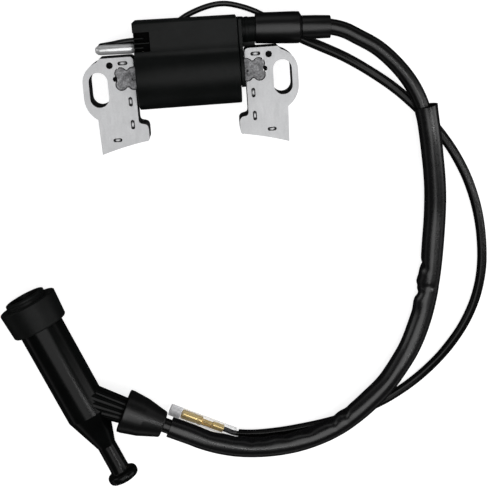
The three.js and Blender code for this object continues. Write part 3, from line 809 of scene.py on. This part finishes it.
def shade_edges_and_pits(piece):
    """Gives a steel piece's sheared edges, the faces between its sheets and its pit floors the dark
    material: partly the edges' own tone, partly painted shade.
    """
    piece.data.materials.append(STEEL_EDGE_AND_SHADE)
    for face in piece.data.polygons:
        height = face.center.z / MM
        is_outside = min(abs(height - STACK_LOW), abs(height - STACK_HIGH)) < FACE_BAND
        # Side walls, faces between the sheets and pit floors get the near-black material: painted
        # shade, and the edges' own darker tone.
        if abs(face.normal.z) < 0.5 or not is_outside:
            face.material_index = 1


def make_leg(side, mirror):
    """The stack of sheets of one leg, and its front sheet with the interlocks' pits."""
    slot = oval(*SLOT)
    plain = [leg_outline(stake=False), slot]
    pierced = [leg_outline(stake=True), slot, circle(*GAUGE_HOLE)]
    bm = bmesh.new()
    for k in range(SHEETS - 1):
        z0 = STACK_LOW + k * PITCH
        is_bored = z0 > STACK_HIGH - GAUGE_DEPTH
        add_sheet(bm, pierced if is_bored else plain, z0, z0 + PITCH - SHEET_GAP, mirror)
    sheets = finish_mesh(f"leg_sheets_{side}", bm, STEEL, replaces=[f"core_leg_{side}"])
    shade_edges_and_pits(sheets)
    bm = bmesh.new()
    add_sheet(bm, pierced, STACK_HIGH - PITCH, STACK_HIGH, mirror)
    front = finish_mesh(f"leg_face_{side}", bm, STEEL)
    cut_away(front, interlock_pits(mirror))
    sharpen(front, 30)
    shade_edges_and_pits(front)
    make_interlocks(side, mirror)


def make_core_bar():
    """The bar's knots are stacked sheets as well, and the bar between them is plain."""
    knot = knot_outline(KNOT_FROM_X, 0.0, stake=False)
    bm = bmesh.new()
    for mirror in (False, True):
        for k in range(SHEETS):
            z0 = STACK_LOW + k * PITCH
            is_front = k == SHEETS - 1
            top = BAR_FRONT if is_front else z0 + PITCH - SHEET_GAP
            has_dimple = k >= SHEETS - DIMPLED_SHEETS
            loops = [knot, circle(*DIMPLE, steps=16)] if has_dimple else [knot]
            add_sheet(bm, loops, z0, top, mirror)
    reach = KNOT_FROM_X + 0.05
    low = (-reach, CORE_Y - BAR_HALF, STACK_LOW)
    block(bm, low, (reach, CORE_Y + BAR_HALF, BAR_FRONT), 0)
    finish_mesh("core_knots", bm, CORE, replaces=["core_bar"])


make_leg("right", mirror=False)
make_leg("left", mirror=True)
make_core_bar()

# ------------------------------------------------------------------ housing

HOUSING_LEFT = -23.2
HOUSING_RIGHT = 21.8
CYLINDER_MIDDLE = Vector((4.4, 14.4))
CYLINDER_RADIUS = 14.4
CHAMBER_MIDDLE = Vector((21.85, 14.3))
CHAMBER_HALF = Vector((6.65, 10.7))
CHAMBER_CORNER = 0.5
CREASE = 3.4
DRAFT = 0.014
WALL = 1.3
END_WALL = 1.6
PROFILE_FROM = Vector((15.2, 13.5))
PROFILE_STEPS = 220


def housing_distance(point, grow, x):
    """Signed distance from the housing's outline in the YZ plane, its crease blended."""
    round_part = (point - CYLINDER_MIDDLE).length - (CYLINDER_RADIUS + grow)
    offset = point - CHAMBER_MIDDLE
    offset.x += DRAFT * (x - HOUSING_LEFT)
    corner = max(CHAMBER_CORNER + grow, 0.2)
    qx = abs(offset.x) - (CHAMBER_HALF.x + grow) + corner
    qy = abs(offset.y) - (CHAMBER_HALF.y + grow) + corner
    outside = math.hypot(max(qx, 0), max(qy, 0))
    square_part = outside + min(max(qx, qy), 0) - corner
    share = max(CREASE - abs(round_part - square_part), 0) / CREASE
    return min(round_part, square_part) - share * share * CREASE * 0.25


def housing_ring(bm, x, grow, lowest=-40):
    """A ring of vertices on the housing's outline, grown by an amount, and cut off at lowest."""
    ring = []
    for k in range(PROFILE_STEPS):
        angle = 2 * math.pi * k / PROFILE_STEPS
        ray = Vector((math.cos(angle), math.sin(angle)))
        low, high = 0.0, 30.0
        for _ in range(30):
            middle = (low + high) / 2
            if housing_distance(PROFILE_FROM + ray * middle, grow, x) < 0:
                low = middle
            else:
                high = middle
        point = PROFILE_FROM + ray * low
        ring.append(bm.verts.new(Vector((x, max(point.x, lowest), point.y)) * MM))
    return ring


def rounded_ends(bm, x0, x1, grow, edge, lowest=-40, steps=4):
    """Rings from one end to the other, with both ends' edges rounded."""
    turns = [math.pi / 2 * k / steps for k in range(steps + 1)]
    rings = []
    places = [(x0 + edge * (1 - math.sin(a)), a) for a in turns[::-1]]
    places += [(x1 - edge * (1 - math.sin(a)), a) for a in turns]
    for x, a in places:
        rings.append(housing_ring(bm, x, grow - edge * (1 - math.cos(a)), lowest))
    return rings


def make_housing():
    """A cup, open at the right end, with rounded ends."""
    bm = bmesh.new()
    rings = rounded_ends(bm, HOUSING_LEFT, HOUSING_RIGHT, 0.0, 0.5)
    rings.append(housing_ring(bm, HOUSING_RIGHT, -WALL))
    rings.append(housing_ring(bm, HOUSING_LEFT + END_WALL, -WALL))
    bridge(bm, rings)
    bm.faces.new(rings[0])
    bm.faces.new(rings[-1])
    return finish_mesh("housing_shell", bm, HOUSING_PLASTIC, replaces=["housing"])


COMB_X = (HOUSING_LEFT, -16.0)
COMB_Y = (15.9, 24.2)
COMB_WALL = 0.8
COMB_FLOOR = 20.6
COMB_FRONT = 24.55


def comb_tool():
    """What the bays take out of the chamber's corner, its floor and walls left standing."""
    bm = bmesh.new()
    block(bm, (COMB_X[0] - 1, COMB_Y[0], COMB_FLOOR), (COMB_X[1], COMB_Y[1], 26), 0)
    return as_tool("comb_tool", bm)


def make_comb():
    """Walls and ribs of the open bays beside the stop lead's exit."""
    x0, x1 = COMB_X
    y0, y1 = COMB_Y
    foot = 19
    bm = bmesh.new()
    block(bm, (x1, y0 - COMB_WALL, foot), (x1 + COMB_WALL, y1 + COMB_WALL, COMB_FRONT), 0.1)
    # each rib or wall: its lower edge, width, far end and front
    ribs = [
        (y0 - COMB_WALL, COMB_WALL, x1, COMB_FRONT),
        (17.35, 0.5, x1 - 2.9, COMB_FRONT - 0.4),
        (19.25, 0.5, x1 - 0.3, COMB_FRONT - 0.2),
        (21.3, 0.5, x1 - 2.7, COMB_FRONT - 0.4),
        (y1, COMB_WALL, x1, COMB_FRONT),
    ]
    for y, width, end, top in ribs:
        block(bm, (x0 + 0.15, y, foot), (end, y + width, top), 0.12)
    finish_mesh("housing_comb", bm, HOUSING_PLASTIC)
    # The bays' floor carries the painted shade of the recess.
    bm = bmesh.new()
    low = (x0 + 0.2, y0 - COMB_WALL, COMB_FLOOR - 0.8)
    block(bm, low, (x1 + COMB_WALL, y1 + COMB_WALL, COMB_FLOOR), 0.1)
    finish_mesh("housing_comb_floor", bm, RECESS_SHADE_PLASTIC)


housing = make_housing()
cut_away(housing, comb_tool())
sharpen(housing, 35)
make_comb()

# ------------------------------------------------------------------ tower, boot and collar

TOWER_DROOP = math.radians(3)
TOWER_MATRIX = Matrix.Translation(Vector((22, 22.2, 13.5)) * MM) @ Matrix.Rotation(
    -TOWER_DROOP, 4, "Z"
)


def root_offset(along, angle):
    """The tower's root sits a little lower than the boot's axis."""
    return -0.6 * math.cos(angle) if along < 5.9 else 0


def make_tower():
    """The cover over the open end, the tower on it, and a rib between tower and core."""
    bm = bmesh.new()
    rings = rounded_ends(bm, 22.0, 23.7, -1.0, 0.35, lowest=-2.0)
    bridge(bm, rings)
    bm.faces.new(rings[0])
    bm.faces.new(rings[-1])
    tower = [
        (0.2, 0, 0),
        (0.2, 5.75, 0.3),
        (2.2, 5.75, 0.1),
        (2.4, 5.5, 0.1),
        (3.1, 5.5, 0.1),
        (3.3, 5.7, 0.1),
        (4.4, 5.7, 0.1),
        (4.6, 5.5, 0.1),
        (16.5, 5.5, 0.5),
        (16.5, 3.8, 0.3),
        (6.0, 3.8, 0),
        (6.0, 0, 0),
    ]
    lathe(bm, tower, TOWER_MATRIX, ribs=root_offset)
    block(bm, (23.5, 14.2, 9.0), (29.2, 17.4, 15.5), 0.3)
    finish_mesh("tower_moulding", bm, HOUSING_PLASTIC, replaces=["tower_cover"])


def make_boot_and_collar():
    boot = [
        (7.8, 5.6, 0),
        (7.8, 6.6, 0.2),
        (12.0, 6.75, 2),
        (24.0, 6.95, 1.5),
        (26.9, 6.9, 0.3),
        (27.9, 5.4, 0.3),
        (27.9, 3.6, 0),
        (17.0, 3.6, 0),
        (17.0, 5.6, 0),
        (7.8, 5.6, 0),
    ]
    collar = [
        (28.1, 3.6, 0),
        (28.1, 5.1, 0.25),
        (34, 5.1, 3),
        (40.7, 4.95, 0.3),
        (40.7, 3.6, 0),
        (28.1, 3.6, 0),
    ]
    return (
        turned("boot_on_tower", boot, TOWER_MATRIX, BOOT_RUBBER, replaces=["tower_boot"]),
        turned("collar_on_lead", collar, TOWER_MATRIX, BOOT_RUBBER, replaces=["lead_collar"]),
    )


make_tower()
boot_piece, collar_piece = make_boot_and_collar()

# ------------------------------------------------------------------ stop terminal


def make_stop_terminal():
    """A rolled tube with a seam along its front, a rounded end and a stem in the housing."""
    matrix = Matrix.Translation(Vector((-23.5, 17.05, 16.6)) * MM) @ Matrix.Rotation(
        math.radians(178.8), 4, "Z"
    )
    outer, wall, length = 2.15, 0.45, 16.8
    seam_at, seam_half = math.radians(123), math.radians(2.2)
    steps = 44
    bm = bmesh.new()
    rings = []
    stations = [(0.0, 0.75), (0.5, 0.92), (1.4, 1.0), (length - 2.2, 1.0), (length - 1.2, 0.9)]
    stations += [(length - 0.5, 0.7), (length, 0.42)]
    turns = [
        seam_at + seam_half + (2 * math.pi - 2 * seam_half) * k / steps for k in range(steps + 1)
    ]
    for along, swell in stations:
        ring = []
        for radius, way in ((outer * swell, turns), (outer * swell - wall, turns[::-1])):
            for angle in way:
                point = Vector((along, radius * math.cos(angle), radius * math.sin(angle)))
                ring.append(bm.verts.new(matrix @ (point * MM)))
        rings.append(ring)
    bridge(bm, rings)
    bm.faces.new(rings[0][::-1])
    bm.faces.new(rings[-1])
    stem = [(-2.6, 0, 0), (-2.6, 1.2, 0), (0.6, 1.2, 0.2), (0.9, 1.5, 0.2), (1.2, 0, 0)]
    lathe(bm, stem, matrix, sides=32)
    finish_mesh("rolled_terminal", bm, TIN, replaces=["stop_terminal"])


make_stop_terminal()

# ------------------------------------------------------------------ high-tension lead

lead_line = route_points(LEAD_ROUTE, 2 * MM)
LEAD_LENGTH = line_length(lead_line)
GUARD_START = 93 * MM
GUARD_END = LEAD_LENGTH - 31.2 * MM
GUARD_OUTER = 5.0 * MM
GUARD_INNER = 4.45 * MM


def make_lead():
    bm = bmesh.new()
    sweep(bm, lead_line, LEAD_RADIUS, 40)
    return finish_mesh("high_tension_lead", bm, LEAD_JACKET, replaces=["ht_lead"])


# Creases of the loose tube on the inside of its bend, in millimetres: distance from its
# mouth, height (below zero for a dent), length, and share of the girth.
GUARD_CREASES = [
    (30, 0.15, 16, 1.2),
    (64, 0.35, 13, 1.1),
    (76.5, -0.75, 1.6, 0.8),
    (80, 0.35, 2.4, 0.9),
    (85.5, 1.0, 3.6, 0.9),
    (87.5, -0.45, 1.3, 1.9),
    (91, -0.85, 1.6, 0.9),
    (95.5, 0.75, 3.2, 0.8),
    (108, 0.4, 9, 0.9),
    (137, -0.3, 7, 0.7),
    (150, 0.25, 7, 0.8),
    (163, -0.7, 1.8, 0.8),
    (167, 0.3, 2.5, 0.7),
    (172, -0.7, 1.9, 0.9),
    (178, 0.3, 4, 0.8),
    (186, -0.55, 3.2, 0.7),
    (197, -0.7, 2.6, 0.8),
    (203, 0.3, 3, 0.7),
    (209, -0.6, 2.4, 0.7),
    (215, -0.65, 2.2, 0.8),
    (224, -0.45, 3, 0.8),
    (236, -0.35, 4, 0.8),
]


def guard_shape(along, angle):
    """The tube's own unevenness and its creases. Angle 0 is the inside of the bend."""
    r = 0.16 * MM * noise.noise(Vector((along * 55, math.cos(angle), math.sin(angle))))
    turn = (angle + math.pi) % (2 * math.pi) - math.pi
    for k, (place, height, length, girth) in enumerate(GUARD_CREASES):
        lean = 1.5 * math.sin(7.0 * k) * turn
        d = (along / MM - place - lean) / length
        if abs(d) < 3:
            facing = 0.35 * math.sin(3.0 * k)
            r += height * MM * math.exp(-d * d) * math.exp(-(((turn - facing) / girth) ** 2))
    flare = max(0.0, 1 - along / (9 * MM))
    return r + 0.5 * MM * flare**2


def make_guard():
    """The loose glossy tube. Its upper end stands off the lead and is open."""
    line = part_of_line(lead_line, GUARD_START, GUARD_END)
    step = 0.6 * MM
    fine = route_points(line[:-2:3] + line[-1:], step)
    shifted = []
    for k, (point, side, up) in enumerate(frames_along(fine)):
        near_mouth = max(0, 1 - k * step / (24 * MM))
        shifted.append(point - side * (1.6 * MM * near_mouth**1.5))
    bm = bmesh.new()
    sweep(bm, shifted, GUARD_OUTER, 64, guard_shape, GUARD_INNER)
    return finish_mesh("lead_guard", bm, GUARD_VINYL, sharp=60, replaces=["ht_lead_guard"])


lead_piece = make_lead()
guard_piece = make_guard()

# ------------------------------------------------------------------ stop lead

stop_line = route_points(STOP_ROUTE, 1.2 * MM)
STOP_LENGTH = line_length(stop_line)
STOP_GUARD_START = 103 * MM
STOP_GUARD_END = STOP_LENGTH - 11.5 * MM
STOP_GUARD_OUTER = 2.25 * MM
STOP_GUARD_INNER = 1.85 * MM


def make_stop_lead():
    bm = bmesh.new()
    sweep(bm, stop_line, STOP_RADIUS, 20)
    return finish_mesh("stop_wire", bm, LEAD_JACKET, replaces=["stop_lead"])


def stop_guard_shape(along, angle):
    """A thin tube that lies a little flattened, with a shallow fold along its top."""
    flat = -0.12 * MM * math.sin(angle) ** 2
    wander = math.radians(95) + 0.5 * noise.noise(Vector((along * 18, 0, 0)))
    turn = (angle - wander + math.pi) % (2 * math.pi) - math.pi
    fold = -0.22 * MM * math.exp(-((turn / 0.35) ** 2))
    ripple = 0.07 * MM * noise.noise(Vector((along * 90, math.cos(angle), math.sin(angle))))
    return flat + fold + ripple


def make_stop_guard():
    line = part_of_line(stop_line, STOP_GUARD_START, STOP_GUARD_END)
    bm = bmesh.new()
    sweep(bm, line, STOP_GUARD_OUTER, 32, stop_guard_shape, STOP_GUARD_INNER)
    return finish_mesh("stop_wire_guard", bm, STOP_VINYL, sharp=60, replaces=["stop_lead_guard"])


stop_piece = make_stop_lead()
stop_guard_piece = make_stop_guard()

# ------------------------------------------------------------------ bullet connector

FROST_FROM = 28.6 * MM
CONNECTOR_MATRIX = Matrix.Translation(Vector((7, -173.5, 2.95)) * MM) @ Matrix.Rotation(
    math.radians(153.5), 4, "Z"
)


def make_connector():
    bm = bmesh.new()
    socket = [
        (10.6, 0, 0),
        (10.6, 1.45, 0),
        (6.2, 1.45, 0),
        (6.2, 2.0, 0.2),
        (8.2, 1.85, 0.5),
        (11.6, 1.9, 0.4),
        (12.2, 1.35, 0.3),
        (17.0, 1.35, 0.4),
        (17.6, 2.2, 0.4),
        (19.0, 2.3, 0.4),
        (20.0, 2.05, 0.5),
        (21.0, 2.3, 0.4),
        (27.4, 2.3, 0.3),
        (27.9, 2.05, 0.1),
        (27.9, 1.8, 0),
        (18.4, 1.8, 0),
        (18.4, 0, 0),
    ]
    lathe(bm, socket, CONNECTOR_MATRIX, sides=48)
    for side in (-1, 1):
        low = (12.0, side - 0.35, 0.4)
        block(bm, low, (17.3, side + 0.35, 1.9), 0.15, CONNECTOR_MATRIX)
    socket_piece = finish_mesh("brass_socket", bm, BRASS, replaces=["bullet_socket"])
    sleeve = [
        (0, 2.45, 0),
        (0, 2.85, 0.15),
        (28.5, 2.88, 0),
        (28.7, 2.88, 0),
        (34, 2.9, 0.3),
        (34, 2.5, 0),
        (28.7, 2.48, 0),
        (28.5, 2.48, 0),
        (0, 2.45, 0),
    ]
    sleeve_piece = turned(
        "vinyl_sleeve", sleeve, CONNECTOR_MATRIX, CLEAR, sides=48, replaces=["clear_sleeve"]
    )
    sleeve_piece.data.materials.append(FROSTED)
    outward = CONNECTOR_MATRIX.to_3x3() @ Vector((1, 0, 0))
    for face in sleeve_piece.data.polygons:
        along = (face.center - CONNECTOR_MATRIX.translation).dot(outward)
        if along > FROST_FROM:
            face.material_index = 1
    return socket_piece, sleeve_piece


socket_piece, sleeve_piece = make_connector()

# ------------------------------------------------------------------ plug cap

CAP_MATRIX = (
    Matrix.Translation(Vector((-64.95, -141.34, 16.47)) * MM)
    @ Matrix.Rotation(math.radians(112.4), 4, "Z")
    @ Matrix.Rotation(math.radians(3), 4, "Y")
)
INLET_MATRIX = CAP_MATRIX @ Matrix.Rotation(math.radians(-137.5), 4, "Z")


def neck_ribs(along, angle):
    """Ribs along the neck, and a hump on its front where it joins the barrel."""
    if along < 1.9 or along > 32.5:
        return 0
    hump = 2.4 * max(0.0, math.sin(angle)) ** 1.5 * max(0.0, 1 - along / 24)
    return 0.8 * abs(math.cos(angle * 6)) ** 0.8 + hump


def make_cap_shell():
    bm = bmesh.new()
    barrel = [
        (-47.5, 0, 0),
        (-47.4, 7.4, 2.0),
        (-43.2, 7.4, 1.9),
        (-43.0, 4.7, 0.9),
        (-40, 4.55, 1.5),
        (-28.4, 4.5, 1.0),
        (-10.3, 10.4, 0.9),
        (0, 10.45, 4),
        (45.2, 10.5, 0.3),
        (46, 8.2, 0.2),
        (24, 8.2, 0.2),
        (24, 5.1, 0.2),
        (-4, 5.1, 0),
        (-4, 0, 0),
    ]
    lathe(bm, barrel, CAP_MATRIX, sides=96)
    neck = [
        (2, 0, 0),
        (2, 6.6, 0),
        (6, 6.4, 2),
        (22.0, 5.6, 2),
        (33, 5.6, 0.3),
        (33, 3.85, 0),
        (14, 3.85, 0),
        (14, 0, 0),
    ]
    lathe(bm, neck, INLET_MATRIX, sides=144, ribs=neck_ribs)
    return finish_mesh("cap_moulding", bm, CAP_PLASTIC, body="cap", replaces=["cap_shell"])


def make_cap_seal():
    seal = [
        (37.1, 11.0, 0),
        (37.1, 12.6, 0.2),
        (37.6, 13.1, 0.4),
        (49.8, 13.8, 0.3),
        (50.3, 13.3, 0.2),
        (50.2, 10.0, 0.3),
        (51.4, 9.8, 0.3),
        (51.7, 9.5, 0.2),
        (52.0, 9.6, 0.2),
        (52.8, 9.5, 0.4),
        (53.1, 8.9, 0.3),
        (53.1, 7.0, 0.3),
        (45.5, 7.0, 0),
        (45.5, 11.0, 0),
        (37.1, 11.0, 0),
    ]
    return turned(
        "mouth_seal", seal, CAP_MATRIX, SEAL_RUBBER, sides=96, body="cap", replaces=["cap_seal"]
    )


def make_inlet_boot():
    boot = [
        (23.6, 6.3, 0),
        (22.6, 9.6, 0.5),
        (22.9, 10.4, 0.3),
        (24.6, 10.4, 1),
        (32.4, 9.2, 7),
        (39.8, 7.0, 3),
        (42.0, 6.4, 0.3),
        (42.6, 5.9, 0.2),
        (42.6, 3.7, 0),
        (33.3, 3.7, 0),
        (33.3, 6.3, 0),
        (23.6, 6.3, 0),
    ]
    return turned(
        "boot_on_cap", boot, INLET_MATRIX, BOOT_RUBBER, sides=72, body="cap", replaces=["inlet_boot"]
    )


cap_pieces = [make_cap_shell(), make_cap_seal(), make_inlet_boot()]

# ------------------------------------------------------------------ pieces inside

INSIDE = {
    "epoxy_potting": moulded("resin", (0.012, 0.010, 0.008), (0.03, 0.026, 0.02), (0.15, 0.3)),
    "primary_bobbin": moulded("nylon", (0.6, 0.57, 0.5), (0.72, 0.69, 0.62), (0.4, 0.55)),
    "primary_winding": banded(
        "thick_wire", (0.35, 0.11, 0.04), (0.75, 0.33, 0.14), 0.4 * MM, 0.3, 0.9
    ),
    "secondary_winding": banded(
        "thin_wire", (0.30, 0.09, 0.03), (0.62, 0.26, 0.11), 0.15 * MM, 0.35, 0.9
    ),
    "control_board": moulded("board", (0.02, 0.10, 0.035), (0.035, 0.16, 0.055), (0.25, 0.4)),
    "power_transistor": moulded("package", (0.01, 0.01, 0.01), (0.02, 0.02, 0.02), (0.3, 0.45)),
    "protection_diode": moulded("diode", (0.012, 0.012, 0.012), (0.025, 0.025, 0.025), (0.25, 0.4)),
    "base_resistor": moulded("resistor", (0.35, 0.25, 0.14), (0.45, 0.33, 0.2), (0.3, 0.45)),
    "cap_resistor": moulded("ceramic", (0.55, 0.5, 0.42), (0.68, 0.64, 0.56), (0.35, 0.5)),
    "cap_spring": metal("spring_wire", (0.4, 0.4, 0.41), (0.6, 0.6, 0.62), (0.2, 0.35)),
    "ground_strap": BRASS,
    "tower_pin": BRASS,
    "plug_terminal": BRASS,
    "lead_screw": BRASS,
}
INSIDE["secondary_bobbin"] = INSIDE["primary_bobbin"]


def dress_inner_nodes():
    for name, material in INSIDE.items():
        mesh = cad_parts[name].data
        mesh.materials.clear()
        mesh.materials.append(material)


dress_inner_nodes()

# ------------------------------------------------------------------ floor and light

FLOOR_Z = -0.0001


def make_floor():
    """A pale table that glows a little and isn't seen in what stands on it."""
    bm = bmesh.new()
    bmesh.ops.create_grid(bm, x_segments=1, y_segments=1, size=4)
    bmesh.ops.translate(bm, vec=(0, 0, FLOOR_Z), verts=bm.verts)
    floor = new_object("floor", bm)
    n = Nodes("floor")
    paper = n.noise(40, detail=3)
    n.link(n.mix(paper, (0.50, 0.50, 0.50), (0.54, 0.54, 0.54)), n.shader, "Base Color")
    n.shader.inputs["Roughness"].default_value = 0.9
    n.shader.inputs["Specular IOR Level"].default_value = 0.1
    n.shader.inputs["Emission Color"].default_value = (1, 1, 1, 1)
    n.shader.inputs["Emission Strength"].default_value = 0.8
    floor.data.materials.append(n.material)
    floor.visible_glossy = False


def softbox(name, at, towards, size, radiance):
    """A rectangular light that faces a point. Its power follows from how bright it looks."""
    data = bpy.data.lights.new(name, "AREA")
    data.shape = "RECTANGLE"
    data.size, data.size_y = size
    data.energy = radiance * math.pi * size[0] * size[1]
    light = bpy.data.objects.new(name, data)
    light.location = at
    facing = Vector(towards) - Vector(at)
    light.rotation_mode = "QUATERNION"
    light.rotation_quaternion = facing.to_track_quat("-Z", "Y")
    bpy.context.scene.collection.objects.link(light)


def make_world():
    """A dark room with a pale band round its horizon."""
    world = bpy.data.worlds.new("studio")
    world.use_nodes = True
    nodes = world.node_tree.nodes
    links = world.node_tree.links
    sky = nodes["Background"]
    place = nodes.new("ShaderNodeTexCoord")
    split = nodes.new("ShaderNodeSeparateXYZ")
    links.new(place.outputs["Generated"], split.inputs[0])
    band = nodes.new("ShaderNodeMath")
    band.operation = "MULTIPLY"
    for socket, span in enumerate(((-0.05, 0.0, 0.03, 1.0), (0.05, 0.35, 0.5, 0.03))):
        ramp = nodes.new("ShaderNodeMapRange")
        ramp.interpolation_type = "SMOOTHSTEP"
        for name, number in zip(("From Min", "From Max", "To Min", "To Max"), span):
            ramp.inputs[name].default_value = number
        links.new(split.outputs["Z"], ramp.inputs["Value"])
        links.new(ramp.outputs["Result"], band.inputs[socket])
    links.new(band.outputs[0], sky.inputs["Strength"])
    sky.inputs["Color"].default_value = (1, 1, 1, 1)
    bpy.context.scene.world = world


def make_lights():
    """One large panel over the table, a bright strip beside it, and dim ones round it."""
    middle = (0.0, -0.07, 0.0)
    softbox("over", (0.04, -0.02, 0.9), middle, (0.75, 0.95), 2.4)
    softbox("strip", (0.58, -0.19, 0.8), middle, (0.05, 0.5), 20.0)
    softbox("left", (-0.9, 0.2, 0.35), middle, (0.3, 0.7), 1.5)
    softbox("right", (0.9, -0.1, 0.3), middle, (0.3, 0.7), 2.2)
    softbox("back", (-0.1, 0.9, 0.35), middle, (0.7, 0.35), 0.5)


make_floor()
make_world()
make_lights()
bpy.context.scene.view_settings.view_transform = "Standard"
